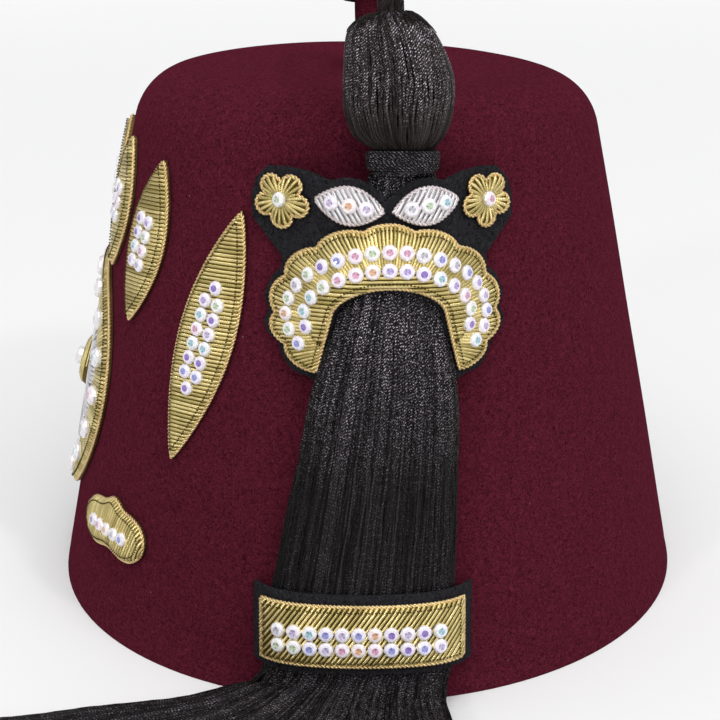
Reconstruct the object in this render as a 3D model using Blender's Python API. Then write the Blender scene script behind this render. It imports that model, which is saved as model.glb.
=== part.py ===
"""A felt fez with a silk tassel and stone-set bullion ornaments, in metres, +Z up.

The origin is the centre of the head opening, on the plane that the rim rests on.
The front of the hat faces -Y, and the tassel hangs on +X, the wearer's left side.
Each ornament is drawn flat, with u across, v up and w out of the felt, and is then
laid on the crown by seat_on_crown.
"""

import math
from collections import namedtuple

import bmesh
import bpy
from mathutils import Vector
from mathutils.geometry import delaunay_2d_cdt

MM = 0.001
GAP = 0.3 * MM  # between pieces that rest on each other

# Crown of the hat
RIM_RADIUS = 96.7 * MM
TOP_RADIUS = 64.6 * MM  # where the line of the side would meet the top
CROWN_HEIGHT = 152.5 * MM
EDGE_RADIUS = 18.0 * MM  # of the rounded edge between side and top
FELT = 2.8 * MM
RIM_SOFTENING = 0.6 * MM
TOP_SHIFT = 1.2 * MM  # the top's centre sits this far toward the back
TOP_SLOPE = 0.029  # the top rises a little toward the front
FAR_RISE = 0.5  # and away from the tassel, by this times the square of the distance in metres
CROWN_SIDES = 56
EDGE_STEPS = 4
INNER_EDGE_STEPS = 3
SIDE_SLOPE = math.atan2(RIM_RADIUS - TOP_RADIUS, CROWN_HEIGHT)

# Stem on the top, as (radius, height above the top)
STEM_SIDES = 14
STEM_SHIFT = 0.6 * MM  # toward the back
STEM_PROFILE = [
    (5.2 * MM, 0.0),
    (4.4 * MM, 1.8 * MM),
    (3.9 * MM, 5.0 * MM),
    (3.9 * MM, 23.0 * MM),
    (3.4 * MM, 25.2 * MM),
    (2.0 * MM, 26.2 * MM),
]

# Tassel cord: from the tassel's head to the stem, round it and back
CORD_DIAMETER = 4.0 * MM
CORD_POINTS = 40
CORD_ROUTE = [
    (69.2, 8.0, 165.7),
    (69.1, 8.0, 170.0),
    (68.7, 8.0, 173.2),
    (66.8, 8.0, 176.0),
    (62.5, 8.0, 177.2),
    (55.0, 8.0, 177.0),
    (45.0, 8.0, 175.6),
    (33.0, 8.0, 173.2),
    (20.0, 8.2, 171.2),
    (9.0, 8.4, 170.2),
    (0.0, 8.4, 170.4),
    (-4.6, 6.6, 170.9),
    (-6.4, 2.0, 171.5),
    (-4.6, -2.6, 172.2),
    (0.0, -4.4, 173.0),
    (8.0, -3.4, 174.2),
    (19.0, -0.9, 176.0),
    (32.0, 1.7, 178.6),
    (44.0, 3.6, 180.4),
    (54.0, 4.8, 181.2),
    (62.5, 5.3, 181.0),
    (68.7, 5.4, 179.2),
    (71.9, 5.4, 175.2),
    (72.7, 5.4, 170.4),
    (72.9, 5.4, 165.7),
]

# Tassel: sections of the head and of the silk that hangs on the hat
LOCKS = 12  # round the whole bundle, so that half of them show
Section = namedtuple("Section", "height lift angle width depth skew groove")
TASSEL_SECTIONS = [
    Section(165.2, 9.4, 4.3, 8.2, 10.4, 0.0, 0.00),
    Section(170.6, 9.6, 4.3, 8.3, 10.6, 0.3, 0.00),
    Section(173.2, 11.2, 3.8, 9.8, 14.4, 0.5, 0.00),
    Section(171.8, 12.9, 3.5, 12.9, 19.0, 0.5, 0.06),
    Section(168.2, 13.5, 4.2, 17.6, 22.4, -0.2, 0.06),
    Section(159.5, 13.2, 5.2, 21.0, 24.2, 0.0, 0.06),
    Section(151.5, 12.3, 5.2, 21.4, 22.4, 0.0, 0.06),
    Section(145.6, 11.0, 5.4, 18.2, 18.8, 0.0, 0.06),
    Section(142.6, 10.2, 6.0, 12.8, 11.4, 0.0, 0.00),
    Section(137.2, 9.3, 6.1, 12.6, 11.0, 0.0, 0.00),
    Section(134.8, 5.5, 6.3, 15.4, 9.0, 0.0, 0.10),
    Section(122.0, 5.3, 5.3, 21.0, 9.2, 0.0, 0.14),
    Section(104.0, 5.3, 3.9, 24.4, 9.2, 0.0, 0.18),
    Section(95.0, 5.3, 3.2, 25.4, 8.8, 0.0, 0.20),
    Section(87.0, 5.3, 2.9, 29.6, 8.8, 0.0, 0.22),
    Section(80.0, 5.2, 2.4, 35.0, 8.8, 0.0, 0.22),
    Section(67.0, 4.9, 1.5, 38.4, 8.4, 0.0, 0.24),
    Section(49.0, 4.4, 0.2, 42.1, 7.6, 0.0, 0.24),
    Section(31.0, 3.8, -1.1, 45.8, 6.5, 0.0, 0.22),
    Section(18.0, 3.6, -1.7, 47.3, 6.2, 0.0, 0.20),
    Section(10.5, 3.6, -2.1, 47.6, 6.2, 0.0, 0.20),
]
# Where the silk turns from the hat onto the table: radius, height, facing, depth, and the
# share of the front edge's sweep that is done there
TURN_SECTIONS = [
    (99.8, 6.7, 35.0, 6.4, 0.3),
    (102.6, 4.3, 65.0, 6.4, 0.7),
]
TURN_GROOVE = 0.22
SILK_ANGLE = -2.5  # of the bundle's middle where it leaves the hat
SILK_WIDTH = 49.0
SILK_SWEEP = (4.0, 4.0)  # of the front edge where it lies flat: degrees round, mm inwards
TAIL_START = 107.0  # radius at which the silk lies flat
TAIL_HEADINGS = (-84.0, -5.0)  # of the front-most and the back-most lock
TAIL_TURN = 34.0  # length over which a lock turns to its own heading
TAIL_LEAN = 0.6  # the front-most lock has made this share of its turn at the start
TAIL_HURRY = 0.6  # and makes the rest over a length that is this share shorter
TAIL_HEAP = 0.5  # the front-most locks heap up by this share where they turn
TAIL_ROWS = [(0.0, 6.2), (14.0, 6.2), (30.0, 6.0), (50.0, 5.6), (72.0, 5.0), (92.0, 4.0)]
TAIL_GROOVE = 0.45
TAIL_FULLNESS = 0.55
TAIL_CLEAR = 0.2  # under the silk on the table
LOCK_TIP = 16.0  # a lock's tip runs this far past the notch beside it
TAIL_SWAY = 3.5  # uneven cut of the ends

# Collar round the tassel's neck: sections of its outside, and the width and depth of its bore
COLLAR_SECTIONS = [
    Section(137.0, 9.3, 6.1, 14.8, 12.9, 0.0, 0.0),
    Section(137.9, 9.4, 6.1, 15.8, 13.8, 0.0, 0.0),
    Section(141.3, 10.0, 6.0, 16.2, 14.4, 0.0, 0.0),
    Section(142.3, 10.1, 6.0, 15.0, 13.2, 0.0, 0.0),
]
COLLAR_BORE = (13.8, 12.0)
COLLAR_SIDES = 20

# Ornaments: places on the crown
Place = namedtuple("Place", "angle height tilt")
HOLDER = Place(math.radians(3.2), 99.8 * MM, 0.0)
BAR = Place(math.radians(-1.3), 20.8 * MM, 0.0)
FRONT = math.radians(-90.0)
BACKING_MARGIN = 2.3 * MM
BACKING_LEVELS = (GAP, 1.4 * MM)
ON_BACKING = (1.4 * MM + GAP, 3.3 * MM)
ON_FELT = (GAP, 2.2 * MM)
PAD_SLOPE = 0.9 * MM  # the padded edge leans in this far
BACKING_SLOPE = 0.2 * MM
FELT_GRID = (7.0 * MM, 9.0 * MM)  # spacing of the faces under a piece on the round crown
ARCH_GRID = (4.0 * MM, 8.0 * MM)  # and under one that arches over the silk

# Arch of the holder and the bar over the silk
HOLDER_RISE = 10.6 * MM
HOLDER_FLAT = 8.0 * MM
HOLDER_FOOT = 30.5 * MM
HOLDER_LOW = (84.0 * MM, 0.45)  # below this height the arch has only this share
HOLDER_FULL = 108.0 * MM
BAR_RISE = 7.5 * MM
BAR_SPAN = 28.75 * MM
BAR_FLANK = 6  # the higher, the steeper the bar comes down at its ends

# Half rosette that frames the tassel's opening
ROSETTE_HALF = (29.1 * MM, 23.2 * MM)
ROSETTE_DROP = 19.1 * MM  # semi-axis below the centre
ROSETTE_SPAN = (math.radians(-50.0), math.radians(230.0))
ROSETTE_LOBES = 11
FOOT_DROP = 0.4 * MM
LOBE_DEPTH = 0.05
OPENING_HALF = (14.0 * MM, 17.6 * MM)  # at the arch's spring, and at its foot
OPENING_RISE = 7.8 * MM
OPENING_STEPS = 12
OPENING_MARGIN = 0.8 * MM  # of the backing inside the opening
BACKING_START = math.radians(-43.0)  # direction of the backing's foot from the centre
BACKING_STEPS = 48
STONE_ROWS = [(24.3 * MM, 16.8 * MM, -34.0), (20.0 * MM, 12.3 * MM, -14.0)]

# Bar across the silk
BAR_SIZE = (52.1 * MM, 16.1 * MM)
BAR_MARGINS = (2.7 * MM, 2.3 * MM)  # of its backing, beside and above it
BAR_STONES = 11
BAR_STONE_SHIFT = (-0.7 * MM, -1.0 * MM)

# Stones: radius, height and table, and the space each takes in a row
STONE_RADIUS = 1.85 * MM
STONE_HEIGHT = 1.3 * MM
STONE_TABLE = 0.55
STONE_PITCH = 4.0 * MM
STONE_SIDES = 8

# Fan of leaves on the front: degrees from the front, height, tilt, length, width, stones
Leaf = namedtuple("Leaf", "turn height tilt length width rows")
LEAVES = [
    Leaf(0.0, 119.5, 0.0, 37.0, 16.5, "222"),
    Leaf(18.5, 117.0, 6.0, 38.0, 16.5, "222"),
    Leaf(36.0, 110.5, 10.0, 46.0, 17.5, "2222"),
    Leaf(57.0, 90.5, 13.0, 70.0, 17.5, "12222221"),
]

# Medallion on the front
MEDALLION_HEIGHT = 62.0 * MM
RING_RADII = (38.0 * MM, 27.0 * MM)
RING_STONES = 18
RING_STONE_RADIUS = 3.0 * MM
PETAL_RADII = (25.8 * MM, 19.0 * MM, 9.0 * MM)  # tip, notch and the hole for the boss
PETALS = 10
BOSS_LIFT = 1.0 * MM  # its flat base clears the round crown
BOSS_PROFILE = [(8.4, 0.0), (8.4, 1.6), (7.4, 3.0), (5.6, 3.9), (3.4, 4.2)]
CENTRE_STONE = [(3.0, 0.0), (3.0, 0.8), (1.7, 1.9)]
TURNED_SIDES = 14

# Sprigs at the foot of the front
SPRIG_TURN = 37.0
SPRIG_HEIGHT = 30.5 * MM
SPRIG_HALF = (16.0 * MM, 5.4 * MM, 4.0 * MM)  # half length, half height, height of the bud
SPRIG_STONES = 5
SPRIG_POINTS = 28

# Flowers and silver leaves above the holder, in its own plane
FLOWER_CENTRE = (25.4 * MM, 28.4 * MM)
FLOWER_RADIUS = 7.0 * MM
FLOWER_NOTCH = 4.35 * MM
FLOWER_PETALS = 5
FLOWER_TURN = math.radians(18.0)
SPRAY_LEAF = (16.8 * MM, 9.2 * MM)
SPRAY_CENTRE = (9.15 * MM, 27.8 * MM)
SPRAY_TILT = math.radians(-80.0)
SPRAY_STONES = 3


def material(name, colour, roughness, metallic=0.0):
    """A Principled material, with its colour given in sRGB from 0 to 255."""
    found = bpy.data.materials.get(name) or bpy.data.materials.new(name)
    found.use_nodes = True
    shader = found.node_tree.nodes["Principled BSDF"]
    linear = [(c / 255.0) ** 2.2 for c in colour]
    shader.inputs["Base Color"].default_value = (*linear, 1.0)
    shader.inputs["Roughness"].default_value = roughness
    shader.inputs["Metallic"].default_value = metallic
    found.diffuse_color = (*linear, 1.0)
    return found


def burgundy_felt():
    return material("burgundy_felt", (80, 27, 41), 0.95)


def black_silk():
    return material("black_silk", (34, 32, 33), 0.45)


def black_felt():
    return material("black_felt", (26, 25, 27), 0.95)


def gold_bullion():
    return material("gold_bullion", (190, 160, 84), 0.35, 1.0)


def silver_bullion():
    return material("silver_bullion", (200, 197, 200), 0.3, 1.0)


def cut_stone():
    return material("cut_stone", (222, 216, 232), 0.05)


def add_solid(name, form, finish, smooth=True):
    """Makes an object of a closed bmesh, with its faces turned outward."""
    bmesh.ops.recalc_face_normals(form, faces=form.faces)
    mesh = bpy.data.meshes.new(name)
    form.to_mesh(mesh)
    form.free()
    mesh.materials.append(finish)
    if smooth:
        mesh.shade_smooth()
        mesh.set_sharp_from_angle(angle=math.radians(35.0))
    piece = bpy.data.objects.new(name, mesh)
    bpy.context.scene.collection.objects.link(piece)
    return piece


def crown_radius(height):
    """Outer radius of the straight side at a height."""
    return RIM_RADIUS - height * math.tan(SIDE_SLOPE)


def leaning(point):
    """Moves a point of a plain round crown to its place on this slightly uneven one."""
    share = point.z / CROWN_HEIGHT
    rise = FAR_RISE * min(0.0, point.x) ** 2 - TOP_SLOPE * point.y
    return Vector((point.x, point.y + TOP_SHIFT * share, point.z + rise * share * abs(share)))


def on_crown(angle, height, lift):
    """The point at an angle from +X and a height on the side, and lift out of the felt."""
    reach = crown_radius(height) + lift * math.cos(SIDE_SLOPE)
    rise = height + lift * math.sin(SIDE_SLOPE)
    return leaning(Vector((reach * math.cos(angle), reach * math.sin(angle), rise)))


def crown_profile(depth, edge_steps):
    """Radius and height of the crown's surface, depth into the felt, from top to rim."""
    corner_x = crown_radius(CROWN_HEIGHT - EDGE_RADIUS) - EDGE_RADIUS / math.cos(SIDE_SLOPE)
    corner_z = CROWN_HEIGHT - EDGE_RADIUS
    points = [(0.0, CROWN_HEIGHT - depth)]
    for step in range(edge_steps + 1):
        facing = math.radians(90.0) + (SIDE_SLOPE - math.radians(90.0)) * step / edge_steps
        radius = EDGE_RADIUS - depth
        points.append((corner_x + radius * math.cos(facing), corner_z + radius * math.sin(facing)))
    inset = depth / math.cos(SIDE_SLOPE)
    if not depth:
        points.append((crown_radius(CROWN_HEIGHT * 0.45), CROWN_HEIGHT * 0.45))
    toward_felt = 1.0 if depth else -1.0
    points.append((crown_radius(RIM_SOFTENING) - inset, RIM_SOFTENING))
    points.append((crown_radius(0.0) - inset + toward_felt * RIM_SOFTENING, 0.0))
    return points


def turned(profile, sides):
    """A bmesh turned round +Z from (radius, height) points that start on the axis."""
    form = bmesh.new()
    corners = [form.verts.new((radius, 0.0, height)) for radius, height in profile]
    edges = [form.edges.new(pair) for pair in zip(corners, corners[1:])]
    bmesh.ops.spin(
        form,
        geom=corners + edges,
        cent=(0.0, 0.0, 0.0),
        axis=(0.0, 0.0, 1.0),
        angle=math.tau,
        steps=sides,
        use_merge=True,
    )
    bmesh.ops.remove_doubles(form, verts=form.verts, dist=1e-6)
    return form


def build_crown():
    """The felt shell: a hollow cone with a rounded top edge, open below."""
    profile = crown_profile(0.0, EDGE_STEPS) + crown_profile(FELT, INNER_EDGE_STEPS)[::-1]
    form = turned(profile, CROWN_SIDES)
    for vert in form.verts:
        vert.co = leaning(vert.co)
    add_solid("crown", form, burgundy_felt())


def build_stem():
    """The felt nub in the middle of the top."""
    base = CROWN_HEIGHT + GAP
    profile = [(0.0, STEM_PROFILE[-1][1])] + STEM_PROFILE[::-1] + [(0.0, 0.0)]
    form = turned([(radius, base + height) for radius, height in profile], STEM_SIDES)
    for vert in form.verts:
        vert.co = leaning(vert.co) + Vector((0.0, STEM_SHIFT, 0.0))
    add_solid("stem", form, burgundy_felt())


def smooth_route(route, count):
    """Evenly spaced points on a smooth curve through the route's points."""
    places = [Vector(point) * MM for point in route]
    padded = [2 * places[0] - places[1], *places, 2 * places[-1] - places[-2]]
    fine = []
    for a, b, c, d in zip(padded, padded[1:], padded[2:], padded[3:]):
        for step in range(16):
            t = step / 16
            fine.append(
                0.5
                * (
                    2 * b
                    + (c - a) * t
                    + (2 * a - 5 * b + 4 * c - d) * t**2
                    + (3 * b - a - 3 * c + d) * t**3
                )
            )
    fine.append(places[-1])
    along = [0.0]
    for a, b in zip(fine, fine[1:]):
        along.append(along[-1] + (b - a).length)
    spaced = []
    index = 0
    for step in range(count):
        target = along[-1] * step / (count - 1)
        while index < len(fine) - 2 and along[index + 1] < target:
            index += 1
        share = (target - along[index]) / max(along[index + 1] - along[index], 1e-9)
        spaced.append(fine[index].lerp(fine[index + 1], min(share, 1.0)))
    return spaced


def build_tassel_cord():
    """The black cord whose loop holds the tassel's head to the stem."""
    curve = bpy.data.curves.new("tassel_cord", "CURVE")
    curve.dimensions = "3D"
    curve.bevel_depth = CORD_DIAMETER / 2
    curve.bevel_resolution = 2
    curve.use_fill_caps = True
    spline = curve.splines.new("POLY")
    points = smooth_route(CORD_ROUTE, CORD_POINTS)
    spline.points.add(len(points) - 1)
    for spot, place in zip(spline.points, points):
        spot.co = (*place, 1.0)
    curve.materials.append(black_silk())
    piece = bpy.data.objects.new("tassel_cord", curve)
    bpy.context.scene.collection.objects.link(piece)


def section_point(turn, width, depth, fullness=1.0):
    """Across and out, for a turn round a bundle's section; under 1 it is fuller than an oval."""
    out = math.copysign(abs(math.sin(turn)) ** fullness, math.sin(turn))
    return math.cos(turn) * width / 2, out * depth / 2


def front_weight(share):
    """How fully a lock follows the front edge; share runs from -1, front, to 1, back."""
    return ((1 - share) / 2) ** 2


def tail_spot(share, reach):
    """Place on the table of a lock, reach along it."""
    weight = front_weight(share)
    sweep, pull = SILK_SWEEP
    start = math.radians(SILK_ANGLE - sweep * weight) + share * SILK_WIDTH / 2 / TAIL_START
    front, back = TAIL_HEADINGS
    target = math.radians(front + (back - front) * (share + 1) / 2)
    radius = TAIL_START - pull * weight
    lean = TAIL_LEAN * weight
    turn_length = TAIL_TURN * (1 - TAIL_HURRY * weight)
    x, y = radius * math.cos(start), radius * math.sin(start)
    steps = max(1, round(reach / 2.0))
    for step in range(steps):
        t = min(1.0, (step + 0.5) * reach / steps / turn_length)
        heading = start + (target - start) * (lean + (1 - lean) * t * t * (3 - 2 * t))
        x += math.cos(heading) * reach / steps
        y += math.sin(heading) * reach / steps
    return x, y


def section_ring(section, count):
    """Points round a section of the tassel on the hat; every second one is in a groove."""
    height = (section.height - section.lift * math.sin(SIDE_SLOPE)) * MM
    ring = []
    for step in range(count):
        turn = math.tau * step / count
        across, out = section_point(turn, section.width, section.depth)
        out *= 1 - section.groove * (step % 2)
        angle = math.radians(section.angle) + across * MM / crown_radius(height)
        skewed = height + section.skew * math.cos(turn) * MM
        ring.append(on_crown(angle, skewed, (section.lift + out) * MM))
    return ring


def tassel_rings():
    """Rings of points down the tassel, each with a point on and between its locks."""
    turns = [math.pi * step / LOCKS for step in range(2 * LOCKS)]
    rings = [section_ring(section, len(turns)) for section in TASSEL_SECTIONS]
    sweep, pull = SILK_SWEEP
    for radius, height, facing, depth, done in TURN_SECTIONS:
        ring = []
        tip = math.radians(facing)
        for step, turn in enumerate(turns):
            across, out = section_point(turn, SILK_WIDTH, depth)
            out *= 1 - TURN_GROOVE * (step % 2)
            weight = front_weight(math.cos(turn)) * done
            angle = math.radians(SILK_ANGLE - sweep * weight) + across / radius
            reach = radius - pull * weight + out * math.cos(tip)
            place = (reach * math.cos(angle), reach * math.sin(angle), height + out * math.sin(tip))
            ring.append(Vector(place) * MM)
        rings.append(ring)
    last = TAIL_ROWS[-1][0]
    for reach, depth in TAIL_ROWS:
        ring = []
        for step, turn in enumerate(turns):
            share, out = section_point(turn, 2.0, depth, TAIL_FULLNESS)
            heap = 1 + TAIL_HEAP * front_weight(share) * max(0.0, 1 - reach / TAIL_ROWS[3][0])
            out *= 1 - TAIL_GROOVE * min(1.0, reach / TAIL_TURN) * (step % 2)
            length = reach
            if reach == last and step % 2 == 0:
                length += LOCK_TIP + TAIL_SWAY * math.cos(3.0 * step)
            x, y = tail_spot(share, length)
            ring.append(Vector((x, y, (depth / 2 + out) * heap + TAIL_CLEAR)) * MM)
        rings.append(ring)
    return rings


def build_tassel():
    """Head, neck and silk as one body of locks, which fans out on the table."""
    form = bmesh.new()
    rings = [[form.verts.new(place) for place in ring] for ring in tassel_rings()]
    count = len(rings[0])
    form.faces.new(rings[0])
    for upper, lower in zip(rings, rings[1:]):
        for i in range(count):
            j = (i + 1) % count
            form.faces.new((upper[i], upper[j], lower[j], lower[i]))
    end = rings[-1]
    form.faces.new((end[0], end[1], end[-1]))
    for i in range(1, LOCKS - 1):
        form.faces.new((end[i], end[i + 1], end[count - i - 1], end[count - i]))
    form.faces.new((end[LOCKS - 1], end[LOCKS], end[LOCKS + 1]))
    add_solid("tassel", form, black_silk())


def build_collar():
    """The wound band round the neck of the tassel."""
    form = bmesh.new()
    width, depth = COLLAR_BORE
    bore = [row._replace(width=width, depth=depth) for row in (COLLAR_SECTIONS[-1], COLLAR_SECTIONS[0])]
    rings = []
    for section in COLLAR_SECTIONS + bore:
        rings.append([form.verts.new(place) for place in section_ring(section, COLLAR_SIDES)])
    for lower, upper in zip(rings, rings[1:] + rings[:1]):
        for i in range(COLLAR_SIDES):
            j = (i + 1) % COLLAR_SIDES
            form.faces.new((lower[i], lower[j], upper[j], upper[i]))
    add_solid("tassel_collar", form, black_silk())


def on_felt(_across, _height):
    return 0.0


def holder_arch(across, height):
    """How far the holder stands off the felt, where it bridges the silk."""
    t = (abs(across) - HOLDER_FLAT) / (HOLDER_FOOT - HOLDER_FLAT)
    bridge = (1 + math.cos(math.pi * min(max(t, 0.0), 1.0))) / 2
    low, share = HOLDER_LOW
    s = min(max((height - low) / (HOLDER_FULL - low), 0.0), 1.0)
    return HOLDER_RISE * bridge * (share + (1 - share) * s * s * (3 - 2 * s))


def bar_arch(across, _height):
    """How far the bar stands off the felt, where it crosses the silk."""
    return BAR_RISE * max(0.0, 1 - (abs(across) / BAR_SPAN) ** BAR_FLANK)


def seat_on_crown(form, place, arch=on_felt):
    """Lays a flat form in u, v and w on the crown."""
    cos_tilt, sin_tilt = math.cos(place.tilt), math.sin(place.tilt)
    for vert in form.verts:
        u, v, w = vert.co
        across = u * cos_tilt - v * sin_tilt
        height = place.height + (u * sin_tilt + v * cos_tilt) * math.cos(SIDE_SLOPE)
        rise = arch(across, height)
        angle = place.angle + across / (crown_radius(height) + rise)
        vert.co = on_crown(angle, height, w + rise)


def inset(loop, distance):
    """The loop moved inward, which is to the left of its anticlockwise run."""
    moved = []
    for before, here, after in zip(loop[-1:] + loop[:-1], loop, loop[1:] + loop[:1]):
        here = Vector(here)
        first = (here - Vector(before)).normalized()
        second = (Vector(after) - here).normalized()
        normal = Vector((-first.y - second.y, first.x + second.x)).normalized()
        spread = max(0.45, normal.dot(Vector((-first.y, first.x))))
        moved.append(tuple(here + normal * distance / spread))
    return moved


def encloses(loop, spot):
    """Whether a spot lies inside a loop."""
    x, y = spot
    inside = False
    for (ax, ay), (bx, by) in zip(loop, loop[1:] + loop[:1]):
        if (ay > y) != (by > y) and x < (bx - ax) * (y - ay) / (by - ay) + ax:
            inside = not inside
    return inside


def distance_to(loop, spot):
    """How far a spot lies from a loop's edges."""
    spot = Vector(spot)
    nearest = math.inf
    for a, b in zip(loop, loop[1:] + loop[:1]):
        a, b = Vector(a), Vector(b)
        run = b - a
        t = min(max((spot - a).dot(run) / max(run.length_squared, 1e-12), 0.0), 1.0)
        nearest = min(nearest, (spot - a - run * t).length)
    return nearest


def grid_inside(loops, step_u, step_v, margin):
    """Grid spots inside the first loop that keep a margin to every loop."""
    us, vs = [u for u, _ in loops[0]], [v for _, v in loops[0]]
    spots = []
    for i in range(math.floor(min(us) / step_u), math.ceil(max(us) / step_u) + 1):
        for j in range(math.floor(min(vs) / step_v), math.ceil(max(vs) / step_v) + 1):
            spot = (i * step_u, j * step_v)
            if encloses(loops[0], spot) and all(distance_to(loop, spot) > margin for loop in loops):
                spots.append(spot)
    return spots


def triangles(loops, spots):
    """Triangles over the area of the first loop, with the other loops' edges kept."""
    corners = [Vector(spot) for loop in loops for spot in loop] + [Vector(spot) for spot in spots]
    edges = []
    for loop in loops:
        start = edges[-1][0] + 1 if edges else 0
        edges += [(start + i, start + (i + 1) % len(loop)) for i in range(len(loop))]
    places, _, faces, *_ = delaunay_2d_cdt(corners, edges, [], 1, 1e-7)
    return [[tuple(places[i]) for i in face] for face in faces]


def middle(face):
    return tuple(sum(c[k] for c in face) / len(face) for k in range(2))


def stone_ring(centre, radius):
    """The girdle of a stone, seen from above."""
    turns = [math.tau * (i + 0.5) / STONE_SIDES for i in range(STONE_SIDES)]
    return [(centre[0] + radius * math.cos(t), centre[1] + radius * math.sin(t)) for t in turns]


def raised_patch(outline, levels, grid, stones=(), hole=None, marks=(), slope=PAD_SLOPE):
    """A flat patch in u, v and w that carries cut stones.

    grid is the spacing of the corners that let it bend. stones holds (centre, radius)
    pairs. marks holds outlines that the upper face keeps as edges, because other
    patches lie on them.
    """
    form = bmesh.new()
    known = {}

    def corner(spot, w):
        key = (round(spot[0], 7), round(spot[1], 7), round(w, 7))
        if key not in known:
            known[key] = form.verts.new((spot[0], spot[1], w))
        return known[key]

    def cover(loops, spots, w, skip, flip):
        for face in triangles(loops, spots):
            if not any(encloses(loop, middle(face)) for loop in skip):
                corners = [corner(spot, w) for spot in face]
                form.faces.new(corners[::-1] if flip else corners)

    def wall(lower_loop, upper_loop, low, high):
        for i in range(len(lower_loop)):
            j = (i + 1) % len(lower_loop)
            form.faces.new(
                (
                    corner(lower_loop[i], low),
                    corner(lower_loop[j], low),
                    corner(upper_loop[j], high),
                    corner(upper_loop[i], high),
                )
            )

    low, high = levels
    top = inset(outline, slope)
    holes = [hole[::-1]] if hole else []
    top_holes = [inset(loop, slope) for loop in holes]
    rings = [stone_ring(centre, radius) for centre, radius in stones]
    margin = 0.3 * min(grid)
    bottom_loops = [outline, *holes, *marks]
    spots = grid_inside(bottom_loops, *grid, margin)
    spots = [spot for spot in spots if not any(encloses(loop, spot) for loop in holes)]
    cover([outline, *holes], spots, low, holes, flip=True)
    if not rings:
        spots = [s for s in spots if all(distance_to(loop, s) > margin for loop in (top, *top_holes))]
        cover([top, *top_holes, *marks], spots, high, top_holes, flip=False)
    else:
        cover([top, *top_holes, *rings], [], high, top_holes + rings, flip=False)
    wall(outline, top, low, high)
    for loop, upper in zip(holes, top_holes):
        wall(loop, upper, low, high)
    for (centre, radius), ring in zip(stones, rings):
        table = stone_ring(centre, radius * STONE_TABLE)
        peak = high + STONE_HEIGHT * radius / STONE_RADIUS
        wall(ring, table, high, peak)
        form.faces.new([corner(spot, peak) for spot in table])
    return form


def stone_row(centre, count, turn=0.0):
    """Stones in touching order on a line through a centre."""
    row = []
    for index in range(count):
        along = (index - (count - 1) / 2) * STONE_PITCH
        spot = (centre[0] + along * math.cos(turn), centre[1] + along * math.sin(turn))
        row.append((spot, STONE_RADIUS))
    return row


def shifted(loop, centre, turn=0.0):
    """A loop turned and moved in its plane."""
    cos_turn, sin_turn = math.cos(turn), math.sin(turn)
    return [
        (centre[0] + u * cos_turn - v * sin_turn, centre[1] + u * sin_turn + v * cos_turn)
        for u, v in loop
    ]


def mirrored(loop):
    """A loop on the other side of the middle line, still anticlockwise."""
    return [(-u, v) for u, v in loop[::-1]]


def lancet(length, width, steps=6):
    """A leaf with a point at each end, standing along v."""
    right = []
    for step in range(steps + 1):
        t = step / steps
        right.append((width / 2 * math.sin(math.pi * t) ** 0.85, length * (t - 0.5)))
    left = [(-u, v) for u, v in right[-2:0:-1]]
    return right + left


def wavy_round(tip, notch, lobes, steps=4):
    """A round outline with petals."""
    loop = []
    for step in range(lobes * steps):
        turn = math.tau * step / (lobes * steps)
        bulge = abs(math.sin(lobes * turn / 2)) ** 0.6
        radius = notch + (tip - notch) * bulge
        loop.append((radius * math.cos(turn), radius * math.sin(turn)))
    return loop


def circle(radius, sides):
    turns = [math.tau * i / sides for i in range(sides)]
    return [(radius * math.cos(t), radius * math.sin(t)) for t in turns]


def rosette_outside(turn):
    """A point of the half rosette's scalloped outer edge."""
    first, last = ROSETTE_SPAN
    wave = abs(math.sin(math.pi * ROSETTE_LOBES * (turn - first) / (last - first)))
    size = 1 - LOBE_DEPTH + LOBE_DEPTH * 1.3 * wave**0.7
    across, up = ROSETTE_HALF
    drop = up if math.sin(turn) > 0 else ROSETTE_DROP
    return across * size * math.cos(turn), drop * size * math.sin(turn)


def half_rosette():
    """The holder's outline: a scalloped arch whose two feet stand beside the silk."""
    first, last = ROSETTE_SPAN
    steps = ROSETTE_LOBES * 3
    outside = [rosette_outside(first + (last - first) * i / steps) for i in range(steps + 1)]
    spring, foot = OPENING_HALF
    depth = -outside[0][1] + FOOT_DROP
    inside = []
    for step in range(OPENING_STEPS + 1):
        turn = math.pi * (1 - step / OPENING_STEPS)
        inside.append((spring * math.cos(turn), OPENING_RISE * math.sin(turn)))
    left_foot = (-foot, -depth)
    right_foot = (foot, -depth)
    left_side = (-(spring + foot) / 2, -depth / 2)
    right_side = ((spring + foot) / 2, -depth / 2)
    return outside + [left_foot, left_side, *inside, right_side, right_foot]


def arc_stones(across, up, first_degrees):
    """Stones in touching order along an upright oval arc over the opening."""
    first = math.radians(first_degrees)
    last = math.pi - first
    fine = []
    for step in range(1601):
        turn = first + (last - first) * step / 1600
        drop = up if math.sin(turn) > 0 else up * ROSETTE_DROP / ROSETTE_HALF[1]
        fine.append(Vector((across * math.cos(turn), drop * math.sin(turn))))
    length = sum((b - a).length for a, b in zip(fine, fine[1:]))
    count = math.floor(length / STONE_PITCH) + 1
    start = (length - (count - 1) * STONE_PITCH) / 2
    stones = []
    along = 0.0
    for a, b in zip(fine, fine[1:]):
        along += (b - a).length
        if len(stones) < count and along >= start + len(stones) * STONE_PITCH:
            stones.append((tuple(b), STONE_RADIUS))
    return stones


def spray_leaf():
    """The silver leaf on the back side of the holder."""
    return shifted(lancet(*SPRAY_LEAF), SPRAY_CENTRE, SPRAY_TILT)


def flower():
    """The gold flower on the back side of the holder."""
    loop = wavy_round(FLOWER_RADIUS, FLOWER_NOTCH, FLOWER_PETALS, steps=5)
    return shifted(loop, FLOWER_CENTRE, FLOWER_TURN)


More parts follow.
